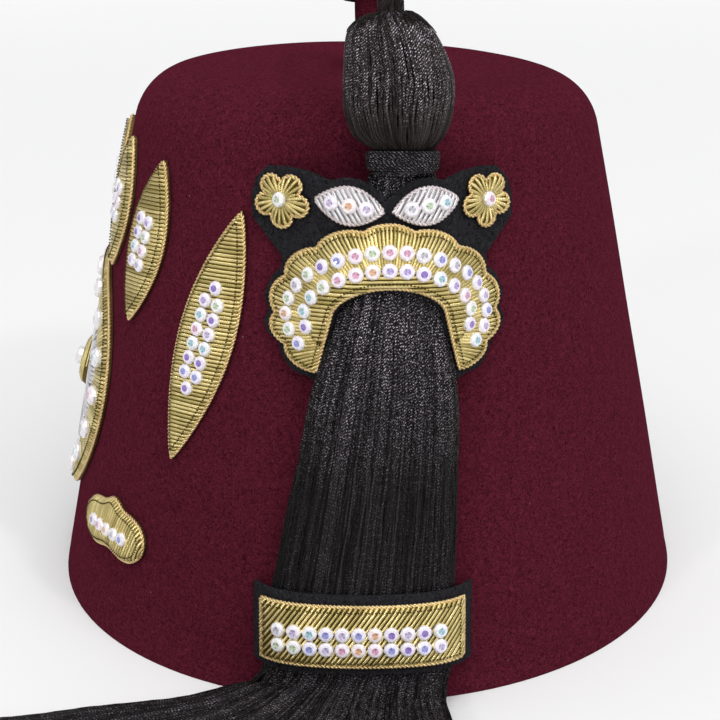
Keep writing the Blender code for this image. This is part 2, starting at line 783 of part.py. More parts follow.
def envelope(outlines, first, steps):
    """The edge a margin outside every outline, as seen from the holder's centre."""
    spots = [Vector(spot) for loop in outlines for spot in loop]
    edge = []
    for step in range(steps + 1):
        turn = first + (math.pi - 2 * first) * step / steps
        ray = Vector((math.cos(turn), math.sin(turn)))
        reach = 0.0
        for spot in spots:
            aside = abs(spot.x * ray.y - spot.y * ray.x)
            if spot.dot(ray) > 0 and aside < 1.5 * BACKING_MARGIN:
                cap = math.sqrt(max(0.0, BACKING_MARGIN**2 - aside**2))
                reach = max(reach, spot.dot(ray) + cap)
        edge.append(tuple(ray * reach))
    return edge


def holder_backing_outline(pieces):
    """The black felt's outline, a margin round all that lies on it."""
    outside = envelope(pieces, BACKING_START, BACKING_STEPS)
    opening = inset(pieces[0], -OPENING_MARGIN)[ROSETTE_LOBES * 3 + 1 :]
    return outside + opening


def add_holder_piece(name, form, finish):
    """Bends a flat piece over the silk and adds it."""
    seat_on_crown(form, HOLDER, holder_arch)
    add_solid(name, form, finish, smooth=False)


def build_holder():
    """The half rosette over the tassel, its felt backing, silver leaves and flowers."""
    rosette = half_rosette()
    leaf, bloom = spray_leaf(), flower()
    pieces = [rosette, leaf, mirrored(leaf), bloom, mirrored(bloom)]
    outline = holder_backing_outline(pieces)
    backing = raised_patch(outline, BACKING_LEVELS, ARCH_GRID, marks=pieces, slope=BACKING_SLOPE)
    add_holder_piece("holder_backing", backing, black_felt())

    stones = [stone for row in STONE_ROWS for stone in arc_stones(*row)]
    plaque = raised_patch(rosette, ON_BACKING, ARCH_GRID, stones)
    add_holder_piece("holder_rosette", plaque, gold_bullion())

    stones = stone_row(SPRAY_CENTRE, SPRAY_STONES, SPRAY_TILT + math.pi / 2)
    form = raised_patch(leaf, ON_BACKING, ARCH_GRID, stones)
    add_holder_piece("silver_leaf_back", form, silver_bullion())
    stones = [((-u, v), radius) for (u, v), radius in stones]
    form = raised_patch(mirrored(leaf), ON_BACKING, ARCH_GRID, stones)
    add_holder_piece("silver_leaf_front", form, silver_bullion())

    across, up = FLOWER_CENTRE
    form = raised_patch(bloom, ON_BACKING, ARCH_GRID, stone_row((across, up), 1))
    add_holder_piece("flower_back", form, gold_bullion())
    form = raised_patch(mirrored(bloom), ON_BACKING, ARCH_GRID, stone_row((-across, up), 1))
    add_holder_piece("flower_front", form, gold_bullion())


def rectangle(width, height, across, up):
    """A rectangle with points along each side."""
    left, low = -width / 2, -height / 2
    lower = [(left + width * i / across, low) for i in range(across)]
    right = [(-left, low + height * i / up) for i in range(up)]
    return lower + right + [(-u, -v) for u, v in lower + right]


def build_bar():
    """The straight bar across the silk near the rim, and its backing."""
    width, height = BAR_SIZE
    plaque_outline = rectangle(width, height, 14, 2)
    beside, above = BAR_MARGINS
    outline = rectangle(width + 2 * beside, height + 2 * above, 16, 2)
    marks = [plaque_outline]
    backing = raised_patch(outline, BACKING_LEVELS, ARCH_GRID, marks=marks, slope=BACKING_SLOPE)
    seat_on_crown(backing, BAR, bar_arch)
    add_solid("bar_backing", backing, black_felt(), smooth=False)

    shift_u, shift_v = BAR_STONE_SHIFT
    stones = []
    for row in (-0.5, 0.5):
        stones += stone_row((shift_u, shift_v + row * STONE_PITCH), BAR_STONES)
    plaque = raised_patch(plaque_outline, ON_BACKING, ARCH_GRID, stones)
    seat_on_crown(plaque, BAR, bar_arch)
    add_solid("bar", plaque, gold_bullion(), smooth=False)


def build_leaf(name, leaf, side):
    """One leaf of the fan, on its side of the front."""
    outline = lancet(leaf.length * MM, leaf.width * MM)
    stones = []
    for index, count in enumerate(leaf.rows):
        up = (index - (len(leaf.rows) - 1) / 2) * STONE_PITCH
        stones += stone_row((0.0, up), int(count))
    form = raised_patch(outline, ON_FELT, FELT_GRID, stones)
    turn = FRONT + side * math.radians(leaf.turn)
    place = Place(turn, leaf.height * MM, -side * math.radians(leaf.tilt))
    seat_on_crown(form, place)
    add_solid(name, form, gold_bullion(), smooth=False)


def build_leaves():
    """Seven leaves that fan out over the front."""
    build_leaf("leaf_front", LEAVES[0], 1)
    for number, leaf in enumerate(LEAVES[1:], start=1):
        build_leaf(f"leaf_left_{number}", leaf, 1)
        build_leaf(f"leaf_right_{number}", leaf, -1)


def build_medallion():
    """The round medallion: a stone-set ring, silver petals, a boss and its stone."""
    place = Place(FRONT, MEDALLION_HEIGHT, 0.0)
    outer, inner = RING_RADII
    middle_radius = (outer + inner) / 2
    stones = []
    for i in range(RING_STONES):
        turn = math.tau * i / RING_STONES
        spot = (middle_radius * math.cos(turn), middle_radius * math.sin(turn))
        stones.append((spot, RING_STONE_RADIUS))
    ring = raised_patch(circle(outer, 36), ON_FELT, FELT_GRID, stones, circle(inner, 28))
    seat_on_crown(ring, place)
    add_solid("medallion_ring", ring, gold_bullion(), smooth=False)

    tip, notch, hole = PETAL_RADII
    petals = raised_patch(wavy_round(tip, notch, PETALS), ON_FELT, FELT_GRID, hole=circle(hole, 20))
    seat_on_crown(petals, place)
    add_solid("medallion_petals", petals, silver_bullion(), smooth=False)

    seat = on_crown(FRONT, MEDALLION_HEIGHT, 0.0)
    outward = (on_crown(FRONT, MEDALLION_HEIGHT, 1.0) - seat).normalized()
    facing = outward.to_track_quat("Z", "Y")
    base = BOSS_LIFT
    for name, profile, finish in (
        ("medallion_boss", BOSS_PROFILE, gold_bullion()),
        ("medallion_stone", CENTRE_STONE, cut_stone()),
    ):
        rows = [(0.0, profile[-1][1])] + profile[::-1] + [(0.0, 0.0)]
        form = turned([(radius * MM, height * MM) for radius, height in rows], TURNED_SIDES)
        for vert in form.verts:
            vert.co = seat + outward * base + facing @ vert.co
        add_solid(name, form, finish)
        base += profile[-1][1] * MM + GAP


def sprig():
    """A pair of leaves with a bud between them."""
    half, height, bud = SPRIG_HALF
    loop = []
    for step in range(SPRIG_POINTS):
        turn = math.tau * step / SPRIG_POINTS
        along = (half - height) * abs(math.cos(turn)) ** 3
        radius = height + along + bud * max(0.0, math.sin(turn)) ** 5
        loop.append((radius * math.cos(turn), radius * math.sin(turn)))
    return loop


def build_sprigs():
    """The two small sprigs at the foot of the front."""
    for name, side in (("sprig_left", 1), ("sprig_right", -1)):
        stones = stone_row((0.0, 0.0), SPRIG_STONES)
        form = raised_patch(sprig(), ON_FELT, FELT_GRID, stones)
        turn = FRONT + side * math.radians(SPRIG_TURN)
        seat_on_crown(form, Place(turn, SPRIG_HEIGHT, 0.0))
        add_solid(name, form, gold_bullion(), smooth=False)


def main():
    for old in list(bpy.data.objects):
        bpy.data.objects.remove(old, do_unlink=True)
    build_crown()
    build_stem()
    build_tassel_cord()
    build_tassel()
    build_collar()
    build_holder()
    build_bar()
    build_leaves()
    build_medallion()
    build_sprigs()


main()
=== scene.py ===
import math
from collections import namedtuple

import bmesh
import bpy
import numpy as np
from mathutils import Matrix, Vector
from mathutils.geometry import delaunay_2d_cdt


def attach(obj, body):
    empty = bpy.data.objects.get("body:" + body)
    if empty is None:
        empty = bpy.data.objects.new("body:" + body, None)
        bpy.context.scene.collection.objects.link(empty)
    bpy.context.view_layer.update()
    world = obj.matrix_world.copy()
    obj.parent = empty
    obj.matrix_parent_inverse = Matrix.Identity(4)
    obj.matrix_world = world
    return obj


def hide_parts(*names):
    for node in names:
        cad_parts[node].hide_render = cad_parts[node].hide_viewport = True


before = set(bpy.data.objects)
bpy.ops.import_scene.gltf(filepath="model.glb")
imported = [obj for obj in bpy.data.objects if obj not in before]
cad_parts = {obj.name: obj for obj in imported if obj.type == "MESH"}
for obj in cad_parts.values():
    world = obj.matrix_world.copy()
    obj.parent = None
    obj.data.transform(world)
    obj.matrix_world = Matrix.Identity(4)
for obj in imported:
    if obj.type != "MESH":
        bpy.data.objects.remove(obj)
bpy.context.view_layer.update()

# The hat sits with its rim on the floor. Metres, +Z up, the tassel on +X, the front on -Y.
MM = 0.001
GAP = 0.3 * MM

# Crown of the hat
RIM_RADIUS = 96.7 * MM
TOP_RADIUS = 64.6 * MM
CROWN_HEIGHT = 152.5 * MM
EDGE_RADIUS = 18.0 * MM
FELT = 2.8 * MM
RIM_SOFTENING = 0.6 * MM
TOP_SHIFT = 1.2 * MM
TOP_SLOPE = 0.029
FAR_RISE = 0.5  # the top rises away from the tassel by this times the square of the distance
SIDE_SLOPE = math.atan2(RIM_RADIUS - TOP_RADIUS, CROWN_HEIGHT)
CROWN_SIDES = 144
CREASE = (5.2 * MM, 0.9 * MM, 0.55 * MM)  # height, width and depth of the pressed line
CREASE_WANDER = 0.5 * MM
CREASE_DEPTHS = (0.45, 0.35, 0.2)  # shares of its depth: all round, in two waves and in five
FELT_WAVE_SIZE = 0.8
FELT_WAVE_FADE = (20 * MM, 8 * MM)  # radius and height below which the unevenness fades
# The felt's unevenness: size in mm, waves round the crown, climb per metre, and start
FELT_WAVES = [(0.10, 3, 40, 0.7), (0.07, 7, -70, 0.0), (0.05, 13, 110, 2.0)]

# Stem on the top, as (radius, height above the top)
STEM_SHIFT = 0.6 * MM  # toward the back
STEM_PROFILE = [
    (0.0, 0.0), (5.2, 0.0), (4.8, 0.7), (4.4, 1.8), (3.95, 5.0), (3.8, 10.0), (3.95, 16.0), (3.9, 22.6),
    (3.6, 24.4), (2.8, 25.8), (1.5, 26.2), (0.0, 26.2),
]
STEM_SIDES = 40
STEM_ROWS = 36

# Cord of the tassel, with its route in mm
CORD_ROUTE = [
    (69.2, 8.0, 165.7), (69.1, 8.0, 170.0), (68.7, 8.0, 173.2), (66.8, 8.0, 176.0), (62.5, 8.0, 177.2),
    (55.0, 8.0, 177.0), (45.0, 8.0, 175.6), (33.0, 8.0, 173.2), (20.0, 8.2, 171.2), (9.0, 8.4, 170.2),
    (0.0, 8.4, 170.4), (-4.6, 6.6, 170.9), (-6.4, 2.0, 171.5), (-4.6, -2.6, 172.2), (0.0, -4.4, 173.0),
    (8.0, -3.4, 174.2), (19.0, -0.9, 176.0), (32.0, 1.7, 178.6), (44.0, 3.6, 180.4), (54.0, 4.8, 181.2),
    (62.5, 5.3, 181.0), (68.7, 5.4, 179.2), (71.9, 5.4, 175.2), (72.7, 5.4, 170.4), (72.9, 5.4, 165.7),
]
CORD_WIDTH = 4.0 * MM
CORD_YARNS = 22
CORD_YARN = 0.62 * MM
CORD_TWIST = 26.0 * MM  # length of one turn
CORD_CORE = CORD_WIDTH - 1.4 * CORD_YARN
CORD_POINTS = 150

# Sections of the tassel on the hat, in mm and degrees
Section = namedtuple("Section", "height lift angle width depth skew")
HEAD_SECTIONS = [Section(*row) for row in (
    (166.2, 9.4, 4.3, 7.2, 9.4, 0.0), (170.6, 9.6, 4.3, 7.6, 10.0, 0.3),
    (172.7, 10.4, 4.0, 8.8, 12.4, 0.4), (173.2, 11.2, 3.8, 9.8, 14.4, 0.5),
    (171.8, 12.9, 3.5, 12.9, 19.0, 0.5), (168.2, 13.5, 4.2, 17.6, 22.4, -0.2),
    (159.5, 13.2, 5.2, 21.0, 24.2, 0.0), (151.5, 12.3, 5.2, 21.4, 22.4, 0.0),
    (145.6, 11.0, 5.4, 18.2, 18.8, 0.0), (142.6, 10.2, 6.0, 12.8, 11.4, 0.0),
    (139.5, 9.7, 6.0, 12.6, 11.2, 0.0),
)]
SILK_SECTIONS = [Section(*row) for row in (
    (139.5, 9.7, 6.0, 12.6, 11.2, 0.0), (137.2, 9.3, 6.1, 12.6, 11.0, 0.0),
    (134.8, 5.5, 6.3, 15.4, 9.0, 0.0), (122.0, 5.3, 5.3, 21.0, 9.2, 0.0),
    (104.0, 5.3, 3.9, 25.2, 9.2, 0.0), (95.0, 5.3, 3.2, 28.4, 9.2, 0.0),
    (87.0, 5.3, 2.9, 32.4, 9.0, 0.0), (80.0, 5.2, 2.4, 35.4, 8.8, 0.0),
    (67.0, 4.9, 1.5, 38.4, 8.4, 0.0), (49.0, 4.4, 0.2, 42.1, 7.6, 0.0),
    (31.0, 3.8, -1.1, 45.8, 6.5, 0.0), (18.0, 3.6, -1.7, 47.3, 6.2, 0.0),
    (10.5, 3.6, -2.1, 47.6, 6.2, 0.0),
)]
# The silk's turn onto the table: radius, height, facing, depth, share of the sweep
TURN_SECTIONS = [(99.8, 6.7, 35.0, 6.4, 0.3), (102.6, 4.3, 65.0, 6.4, 0.7)]
SILK_ANGLE = -2.5
SILK_WIDTH = 49.0
SILK_SWEEP = (4.0, 4.0)  # degrees and mm by which the front edge runs ahead
TAIL_START = 107.0  # radius at which the silk meets the table
TAIL_HEADINGS = (-84.0, -5.0)  # of the front and the back edge, in degrees from +X
TAIL_TURN = 34.0  # length over which a strand turns to its heading
TAIL_STEP = 2.0
TAIL_LEAN = 0.6  # share of the turn that the front edge has from its start
TAIL_HURRY = 0.6
TAIL_HEAP = (0.5, 50.0)  # how much higher the front edge is heaped, and for how long
TAIL_REACHES = (0.0, 14.0, 30.0, 50.0, 72.0, 92.0)
TAIL_DEPTHS = (6.2, 6.2, 6.0, 5.6, 5.0, 4.0)
TAIL_FULLNESS = 0.55
TAIL_CLEAR = 0.2
LOCKS = 12
LOCK_TIP = 16.0
LOCK_TRIM = 0.9
STRAND_SHORTER = 7.0  # the most by which a strand ends before its lock
SILK_YARN = 0.8 * MM
SILK_POINTS = 112
SILK_CUT = 63  # points of a strand that are on the hat
# Layers of the silk: strands, how far out they lie, and the size of their wobble
SILK_LAYERS = [
    ("outer", 172, (0.88, 1.0), 0.5),
    ("middle", 110, (0.68, 0.86), 0.6),
    ("inner", 50, (-0.9, 0.62), 0.6),
]
SILK_WAVES = (60.0, 24.0, 9.0)  # lengths of a strand's wobbles
SILK_LOOSE = (30.0, 0.15)  # points from the neck over which the wobble grows, and its least
SILK_LOW = 8 * MM  # under this height a strand counts as lying on the table
SILK_SPREAD = 0.985  # share of the width that strands fill
EDGE_PAINTED_SHADE = 0.7  # painted shade: how much darker the strands at both edges are
SILK_GIRTH = ([0, 22, 50, SILK_POINTS - 1], [0.72, 0.9, 1.0, 1.15])
CORE_SIDES = 72
CORE_POINTS = 70
CORE_SIZE = (0.97, 0.72, 0.12)  # across, out, and depth of its grooves
CORE_GROOVES = 60.0
CORE_SHORTER = 10.0
HEAD_YARN = 0.84 * MM
HEAD_LAYERS = [(128, 1.0), (96, 0.965)]
HEAD_POINTS = 44
HEAD_GIRTH = ([0, 10, 18, 34, 43], [0.7, 0.85, 1.0, 0.8, 0.55])
HEAD_WAVES = (24.0, 11.0)
HEAD_WOBBLE = 0.35
HEAD_LENGTH = 60.0
HEAD_LOOSE = 8.0  # points from its top over which a strand's wobble grows
HEAD_CORE = 0.93
CORE_ROUND = 48  # sides of the head's core and the collar's band
FUZZ_COUNT = 220
FUZZ_YARN = 0.3 * MM
FUZZ_POINTS = 24
FUZZ_KEPT = (7, 14)  # points that are left of a hair
FUZZ_STRAY = 0.06
FUZZ_LIFT = (0.3, 0.6)
FUZZ_SIZE = 1.05  # how far out the hairs lie lower down, as a share of the head

# Collar: height, lift, width and depth of its outside
COLLAR_ROWS = [
    (137.0, 9.3, 14.8, 12.9),
    (137.9, 9.4, 15.8, 13.8),
    (141.3, 10.0, 16.2, 14.4),
    (142.3, 10.1, 15.0, 13.2),
]
COLLAR_SHARES = (0.0, 0.17, 0.81, 1.0)  # heights of the rows, as shares
COLLAR_ANGLE = 6.05
COLLAR_BORE = (13.8, 12.0)
COLLAR_TURNS = 9
COLLAR_STEPS = 64  # points in a turn
COLLAR_WOUND = (0.05, 0.9)  # where the winding starts, and how much of the height it covers
COLLAR_SINK = (0.3, 0.45)  # how deep the thread's middle and the band lie
COLLAR_THREAD = 0.62 * MM

LEAF_ROUNDNESS = 0.85
PETAL_ROUNDNESS = 0.6
SHARPEST = 0.45  # keeps a sharp corner from moving too far inward

# Places of the ornaments
Place = namedtuple("Place", "angle height tilt arch levels")
HOLDER_SPOT = (math.radians(3.2), 99.8 * MM, 0.0)
BAR_SPOT = (math.radians(-1.3), 20.8 * MM, 0.0)
FRONT = math.radians(-90.0)
BACKING_MARGIN = 2.3 * MM
BACKING_LEVELS = (GAP, 1.4 * MM)
ON_BACKING = (1.4 * MM + GAP, 3.3 * MM)
ON_FELT = (GAP, 2.2 * MM)

HOLDER_RISE = 10.6 * MM
HOLDER_FLAT = 8.0 * MM
HOLDER_FOOT = 30.5 * MM
HOLDER_LOW = (84.0 * MM, 0.45)
HOLDER_FULL = 108.0 * MM
BAR_RISE = 7.5 * MM
BAR_SPAN = 28.75 * MM
BAR_FLANK = 6

ROSETTE_HALF = (29.1 * MM, 23.2 * MM)
ROSETTE_DROP = 19.1 * MM
ROSETTE_SPAN = (math.radians(-50.0), math.radians(230.0))
ROSETTE_LOBES = 11
FOOT_DROP = 0.4 * MM
LOBE_DEPTH = 0.05
LOBE_SWELL = (1.3, 0.7)  # how far past its depth a lobe rises, and how round it is
OPENING_HALF = (14.0 * MM, 17.6 * MM)
OPENING_RISE = 7.8 * MM
OPENING_STEPS = 12
OPENING_MARGIN = 0.8 * MM
BACKING_START = math.radians(-43.0)
BACKING_STEPS = 48
STONE_ROWS = [(24.3 * MM, 16.8 * MM, -34.0), (20.0 * MM, 12.3 * MM, -14.0)]
ARC_POINTS = 1601
SUN_STITCH = 27.0 * MM  # radius at which the holder's outer stitches are a pitch apart
SUN_CENTRE = (0.0, -3.0 * MM)

BAR_SIZE = (52.1 * MM, 16.1 * MM)
BAR_MARGINS = (2.7 * MM, 2.3 * MM)
BAR_STONES = 11
BAR_STONE_SHIFT = (-0.7 * MM, -1.0 * MM)
BAR_SLANT = 55.0

STONE_RADIUS = 1.99 * MM
STONE_PITCH = 4.0 * MM
STONE_SIDES = 10
STONE_TINTS = [
    (0.56, 0.42, 0.86), (0.34, 0.36, 0.86), (0.30, 0.16, 0.66), (0.40, 0.70, 0.78), (0.82, 0.40, 0.60),
    (0.88, 0.48, 0.28), (0.62, 0.60, 0.68), (0.68, 0.56, 0.84), (0.62, 0.76, 0.52),
]
STONE_TINTED = 0.2  # how much of its tint a stone's slope shows
STONE_PALE = (0.99, 0.96, 0.98)
# Darker colours that the facets of the slope and of the centre take at random: painted sparkle
STONE_PAINTED_DIM_FACET = (0.66, 0.60, 0.67)
STONE_PAINTED_DARK_FACET = (0.12, 0.12, 0.12)
STONE_CUP = (0.90, 0.88, 0.88)
# Rings of a cut stone of unit radius: radius, height and turn in steps
STONE_RINGS = [(1.0, 0.0, 0.0), (1.0, 0.38, 0.0), (0.95, 0.5, 0.0), (0.76, 0.67, 0.5), (0.46, 0.74, 0.0)]
STONE_SINK = 0.66

# Leaves of the fan, with the stones in each of their rows
Leaf = namedtuple("Leaf", "turn height tilt length width rows")
LEAF_SLANT = 14.0
LEAVES = [
    Leaf(0.0, 119.5, 0.0, 37.0, 16.5, "222"),
    Leaf(18.5, 117.0, 6.0, 38.0, 16.5, "222"),
    Leaf(36.0, 110.5, 10.0, 46.0, 17.5, "2222"),
    Leaf(57.0, 90.5, 13.0, 70.0, 17.5, "12222221"),
]

MEDALLION_HEIGHT = 62.0 * MM
RING_RADII = (38.0 * MM, 27.0 * MM)
RING_STONES = 18
RING_STONE_RADIUS = 3.0 * MM
PETAL_RADII = (25.8 * MM, 19.0 * MM, 9.0 * MM)
PETALS = 10
BOSS_LIFT = 1.0 * MM
BOSS_PROFILE = [
    (0.0, 0.0), (8.4, 0.0), (8.4, 1.6), (8.1, 2.2), (7.4, 3.0), (5.6, 3.9), (3.4, 4.2), (0.0, 4.2),
]
BOSS_SIDES = 48
COIL_RADII = (8.2, 3.6)
COIL_TURNS = 7
COIL_POINTS = 420
COIL_THREAD = 0.75 * MM
CENTRE_STONE = 3.0 * MM

SPRIG_TURN = 37.0
SPRIG_HEIGHT = 30.5 * MM
SPRIG_HALF = (16.0 * MM, 5.4 * MM, 4.0 * MM)
SPRIG_STONES = 5
SPRIG_POINTS = 28
SPRIG_SLANT = 70.0

FLOWER_CENTRE = (25.4 * MM, 28.4 * MM)
FLOWER_RADIUS = 7.0 * MM
FLOWER_NOTCH = 4.35 * MM
FLOWER_PETALS = 5
FLOWER_TURN = math.radians(18.0)
FLOWER_STITCH = (4.2 * MM, 1.2 * MM)  # radius of an even pitch, and where the stitches start
SPRAY_LEAF = (16.8 * MM, 9.2 * MM)
SPRAY_CENTRE = (9.15 * MM, 27.8 * MM)
SPRAY_TILT = math.radians(-80.0)
SPRAY_STONES = 3
SPRAY_SLANT = 62.0

# Metal thread
PURL = 1.0 * MM  # thickness of a bullion stitch
PURL_PITCH = 1.06 * MM
ROPE_PLY = 0.72 * MM
ROPE_REACH = ROPE_PLY * 0.44
ROPE_LAY = 2.1 * MM
ROPE_STEP = 0.5 * MM
ROPE_INSET = 0.25 * MM
ROPE_LIFT = 0.95 * MM
ROPE_GUIDE = 1.2 * MM  # step of the outline that the rope follows
CHIP_INSET = 1.4 * MM
CHIP_PITCH = 0.85 * MM
CHIP_RADIUS = 0.27 * MM
CHIP_LIFT = 0.62 * MM
CHIP_GUIDE = 1.5 * MM
CHIP_ROOM = 0.85  # chips nearer to an edge than this share of their inset are left out
PAD_SHOULDER = 2.6 * MM  # width over which the padding rounds off
PAD_EDGE = 0.42  # share of its height that the padding has at its edge
PAD_GRID = 1.4 * MM
PAD_STEP = 1.0 * MM  # step of the padding's outline
PAD_ROOM = 0.55  # share of the grid's step that its points keep from the outline
FELT_EDGE = (0.25 * MM, 0.6 * MM)  # how much a cut felt edge drops, and over what width
STITCH_MARGIN = 0.55 * MM
STITCH_LIFT = 0.12 * MM
STITCH_DIVE = 0.45 * MM  # how far a stitch's end goes down
STITCH_STEP = 1.1 * MM
SHORTEST_STITCH = 1.2 * MM
STONE_LIFT = 0.1 * MM
ZONE_STEP = 0.2 * MM
PATINA_SCALE = 140.0
WEAR_RANGE = (0.45, 0.75)
WEAR_SHARE = 0.6
WEAR_ROUGH = (0.3, 0.1)  # how far its roughness wanders, and how far below the stated one
# Wires: dark, light and worn colour, roughness, and pitch and depth of the turns in mm
WIRES = {
    # The paddings are dark gold and grey: their own colour, darkened as painted shade for the gaps between
    # stitches
    "gold_padding": ((0.14, 0.095, 0.03), (0.18, 0.125, 0.04), (0.09, 0.06, 0.02), 0.5, 0.6, 0.05),
    "gold_purl": ((0.46, 0.38, 0.14), (0.95, 0.81, 0.40), (0.40, 0.30, 0.10), 0.25, 0.34, 0.07),
    "gold_rope": ((0.74, 0.54, 0.25), (0.92, 0.72, 0.38), (0.60, 0.42, 0.20), 0.34, 0.3, 0.06),
    "gold_chip": ((0.09, 0.06, 0.02), (0.14, 0.095, 0.035), (0.06, 0.04, 0.015), 0.4, 0.3, 0.02),
    "silver_padding": ((0.42, 0.41, 0.41), (0.5, 0.49, 0.49), (0.35, 0.34, 0.34), 0.45, 0.6, 0.05),
    "silver_purl": ((0.74, 0.72, 0.73), (0.92, 0.90, 0.92), (0.62, 0.58, 0.58), 0.3, 0.34, 0.07),
    "silver_rope": ((0.70, 0.62, 0.62), (0.85, 0.78, 0.79), (0.55, 0.48, 0.47), 0.34, 0.3, 0.06),
}

# Cloth and yarn
# Felts: dark and light colour, lint, sheen and its tint
FELTS = {
    "burgundy_felt": (
        (0.049, 0.0062, 0.0122), (0.073, 0.0098, 0.0190), (0.35, 0.22, 0.25), 0.045, (1.0, 0.16, 0.31),
    ),
    "black_felt": (
        (0.005, 0.005, 0.0055), (0.022, 0.021, 0.024), (0.2, 0.2, 0.2), 0.02, (0.6, 0.6, 0.65),
    ),
}
MOTTLE_SCALES = (38.0, 330.0)
MOTTLE_SHARE = 0.55  # of the broader pattern
MOTTLE_RANGE = (0.3, 0.7)
FIBRE_SHARE = 0.85  # how much of the felt's colour single fibres give
FIBRE_TONES = (0.35, 1.7)  # of its dark and light colour
FIBRE_RANGE = (0.34, 0.66)
FIBRE_DEPTH = 0.3 * MM
FELT_ROUGHNESS = (-2.0, 1.2)  # the mottling that would be smooth, and fully rough
LINT_CELLS = 170.0
LINT_SIZE = 0.045
LINT_SHARE = 0.14
LINT_STRENGTH = 0.35
# Yarns: dark and light colour, colour of the painted glints, lay in mm, roughness, the heights in mm up to
# which the twist, its painted glints and groove shade are faint and from which they are full, and how much
# is left when faint
SILK_DARK = (0.0045, 0.0040, 0.0037)
YARNS = {
    "black_silk": (SILK_DARK, (0.021, 0.019, 0.020), (0.92, 0.84, 0.92), 0.8, 0.3, 58.0, 100.0, 0.12),
    "head_silk": (
        (0.013, 0.0105, 0.009), (0.038, 0.030, 0.027), (0.80, 0.71, 0.80), 0.66, 0.3, 149.0, 158.0, 0.08,
    ),
    "collar_silk": (
        (0.004, 0.0035, 0.0035), (0.014, 0.0125, 0.013), (0.36, 0.33, 0.36), 0.9, 0.3, 0.0, 1.0, 1.0,
    ),
    "cord_silk": (
        (0.007, 0.0055, 0.005), (0.030, 0.022, 0.021), (0.05, 0.038, 0.04), 2.6, 0.4, 0.0, 1.0, 1.0,
    ),
    # silk_shade is darker than the darkest silk: painted shade for the cores inside the cord, head, collar
    # and silk
    "silk_shade": ((0.002, 0.002, 0.002), SILK_DARK, SILK_DARK, 2.4, 0.6, 0.0, 1.0, 1.0),
}
YARN_DEPTH = 0.1 * MM
YARN_GRAIN = 900.0
YARN_UNEVEN = 0.3  # how far its roughness wanders
LAY_SPREAD = (0.4, 0.8)  # a strand's lay is its shade times the first of these, plus the second
START_SPREAD = 23.0  # turns between where the twists of the lightest and darkest strand start
# Painted shade in the grooves between plies: how far up a ply's rise it reaches, and how dark it is as a
# share of the dark colour
GROOVE_SHADE_RANGE = (0.0, 0.45)
GROOVE_PAINTED_SHADE = 0.3
YARN_SHINE = 0.06
YARN_TINT = (0.94, 0.88, 1.0, 1.0)
TAIL_TWIST_AND_GLINT_HEIGHTS = (24.0 * MM, 12.0 * MM)  # heights over which the twist and its painted glints come back near the table
TAIL_TWIST_AND_GLINT_SHARE = 0.32  # how much of the twist and its painted glints comes back
# Painted glints on the yarn, highlights painted into its colour: which part of a ply's rise they keep to, how
# many cells to a metre, how far out in a cell, how many of the cells and which strands have them, and long
# faint streaks in their strength
GLINT_CREST = (0.3, 0.8)
GLINT_CELLS = 3100.0
GLINT_EDGE = (0.62, 0.3)
GLINT_PICK = (0.15, 0.75)
GLINT_SHADES = (-0.12, 0.6)
STREAK_SCALE = 240.0
STREAK_STRETCH = (1.0, 1.0, 0.12)
STREAK_RANGE = (0.36, 0.6)
STREAK_SHARE = 0.55

# Camera
CAMERA_SPOT = (0.4056, -0.0017, 0.2044)
CAMERA_PITCH = 0.339
CAMERA_ROLL = -0.012
CAMERA_LENS = 68.41
SENSOR = 36.0

# Studio
FLOOR_HALF = 8.0
FLOOR_TONES_WITH_PAINTED_SHADE = ((0.82, 0.82, 0.82), (0.985, 0.985, 0.985))  # near the hat, darker as painted shade, and far off
# Distances from the middle over which the floor's painted shade gives way to its far tone
FLOOR_PAINTED_SHADE_REACH = (0.4, 2.6)
STUDIO_WALL = (0.30, 0.30, 0.31)
STUDIO_CEILING = (0.66, 0.66, 0.67)
STUDIO_BACKDROP = (0.965, 0.965, 0.970)  # what is seen past the floor, as pale as its far end
SKY_PANEL = ((0.6, 0.15, 1.0), math.radians(70.0), 1.55)  # from where, how broad, how strong
# Small lamps, as name, place, aim, width and power
STUDIO_LAMPS = [
    ("key", (1.1, 0.9, 1.2), (0.0, 0.0, 0.08), 0.16, 4.5),
    ("fill", (1.2, -0.9, 0.7), (0.0, 0.0, 0.08), 0.16, 3.0),
    ("top", (0.5, 0.1, 1.6), (0.0, 0.0, 0.0), 0.2, 2.5),
]


# Camera

def build_camera():
    """The photograph's camera, which looks along -X and a little down."""
    camera = bpy.data.objects.new("camera", bpy.data.cameras.new("camera"))
    bpy.context.scene.collection.objects.link(camera)
    camera.data.lens = CAMERA_LENS
    camera.data.sensor_width = SENSOR
    camera.data.clip_start = 0.01
    camera.data.clip_end = 50.0
    back = Vector((math.cos(CAMERA_PITCH), 0.0, math.sin(CAMERA_PITCH)))
    right = Vector((0.0, 1.0, 0.0))
    turn = Matrix((right, back.cross(right), back)).transposed().to_4x4()
    turn = turn @ Matrix.Rotation(CAMERA_ROLL, 4, "Z")
    camera.matrix_world = Matrix.Translation(CAMERA_SPOT) @ turn
    bpy.context.scene.camera = camera


# Shapes that the pieces share with the solids; arrays hold one point in each row

def turns(count):
    """The angles of even steps round a full turn."""
    return math.tau * np.arange(count) / count


def oval(across, up, turn):
    """Points at angles on an oval, from its half widths."""
    return np.stack([across * np.cos(turn), up * np.sin(turn)], axis=1)


def unit(rows):
    return rows / np.linalg.norm(rows, axis=-1, keepdims=True)


def spans(line):
    return np.linalg.norm(np.diff(line, axis=0), axis=1)


def lengths(line):
    """The length of a line up to each of its points."""
    return np.concatenate([[0.0], np.cumsum(spans(line))])


def crown_radius(height):
    return RIM_RADIUS - height * math.tan(SIDE_SLOPE)


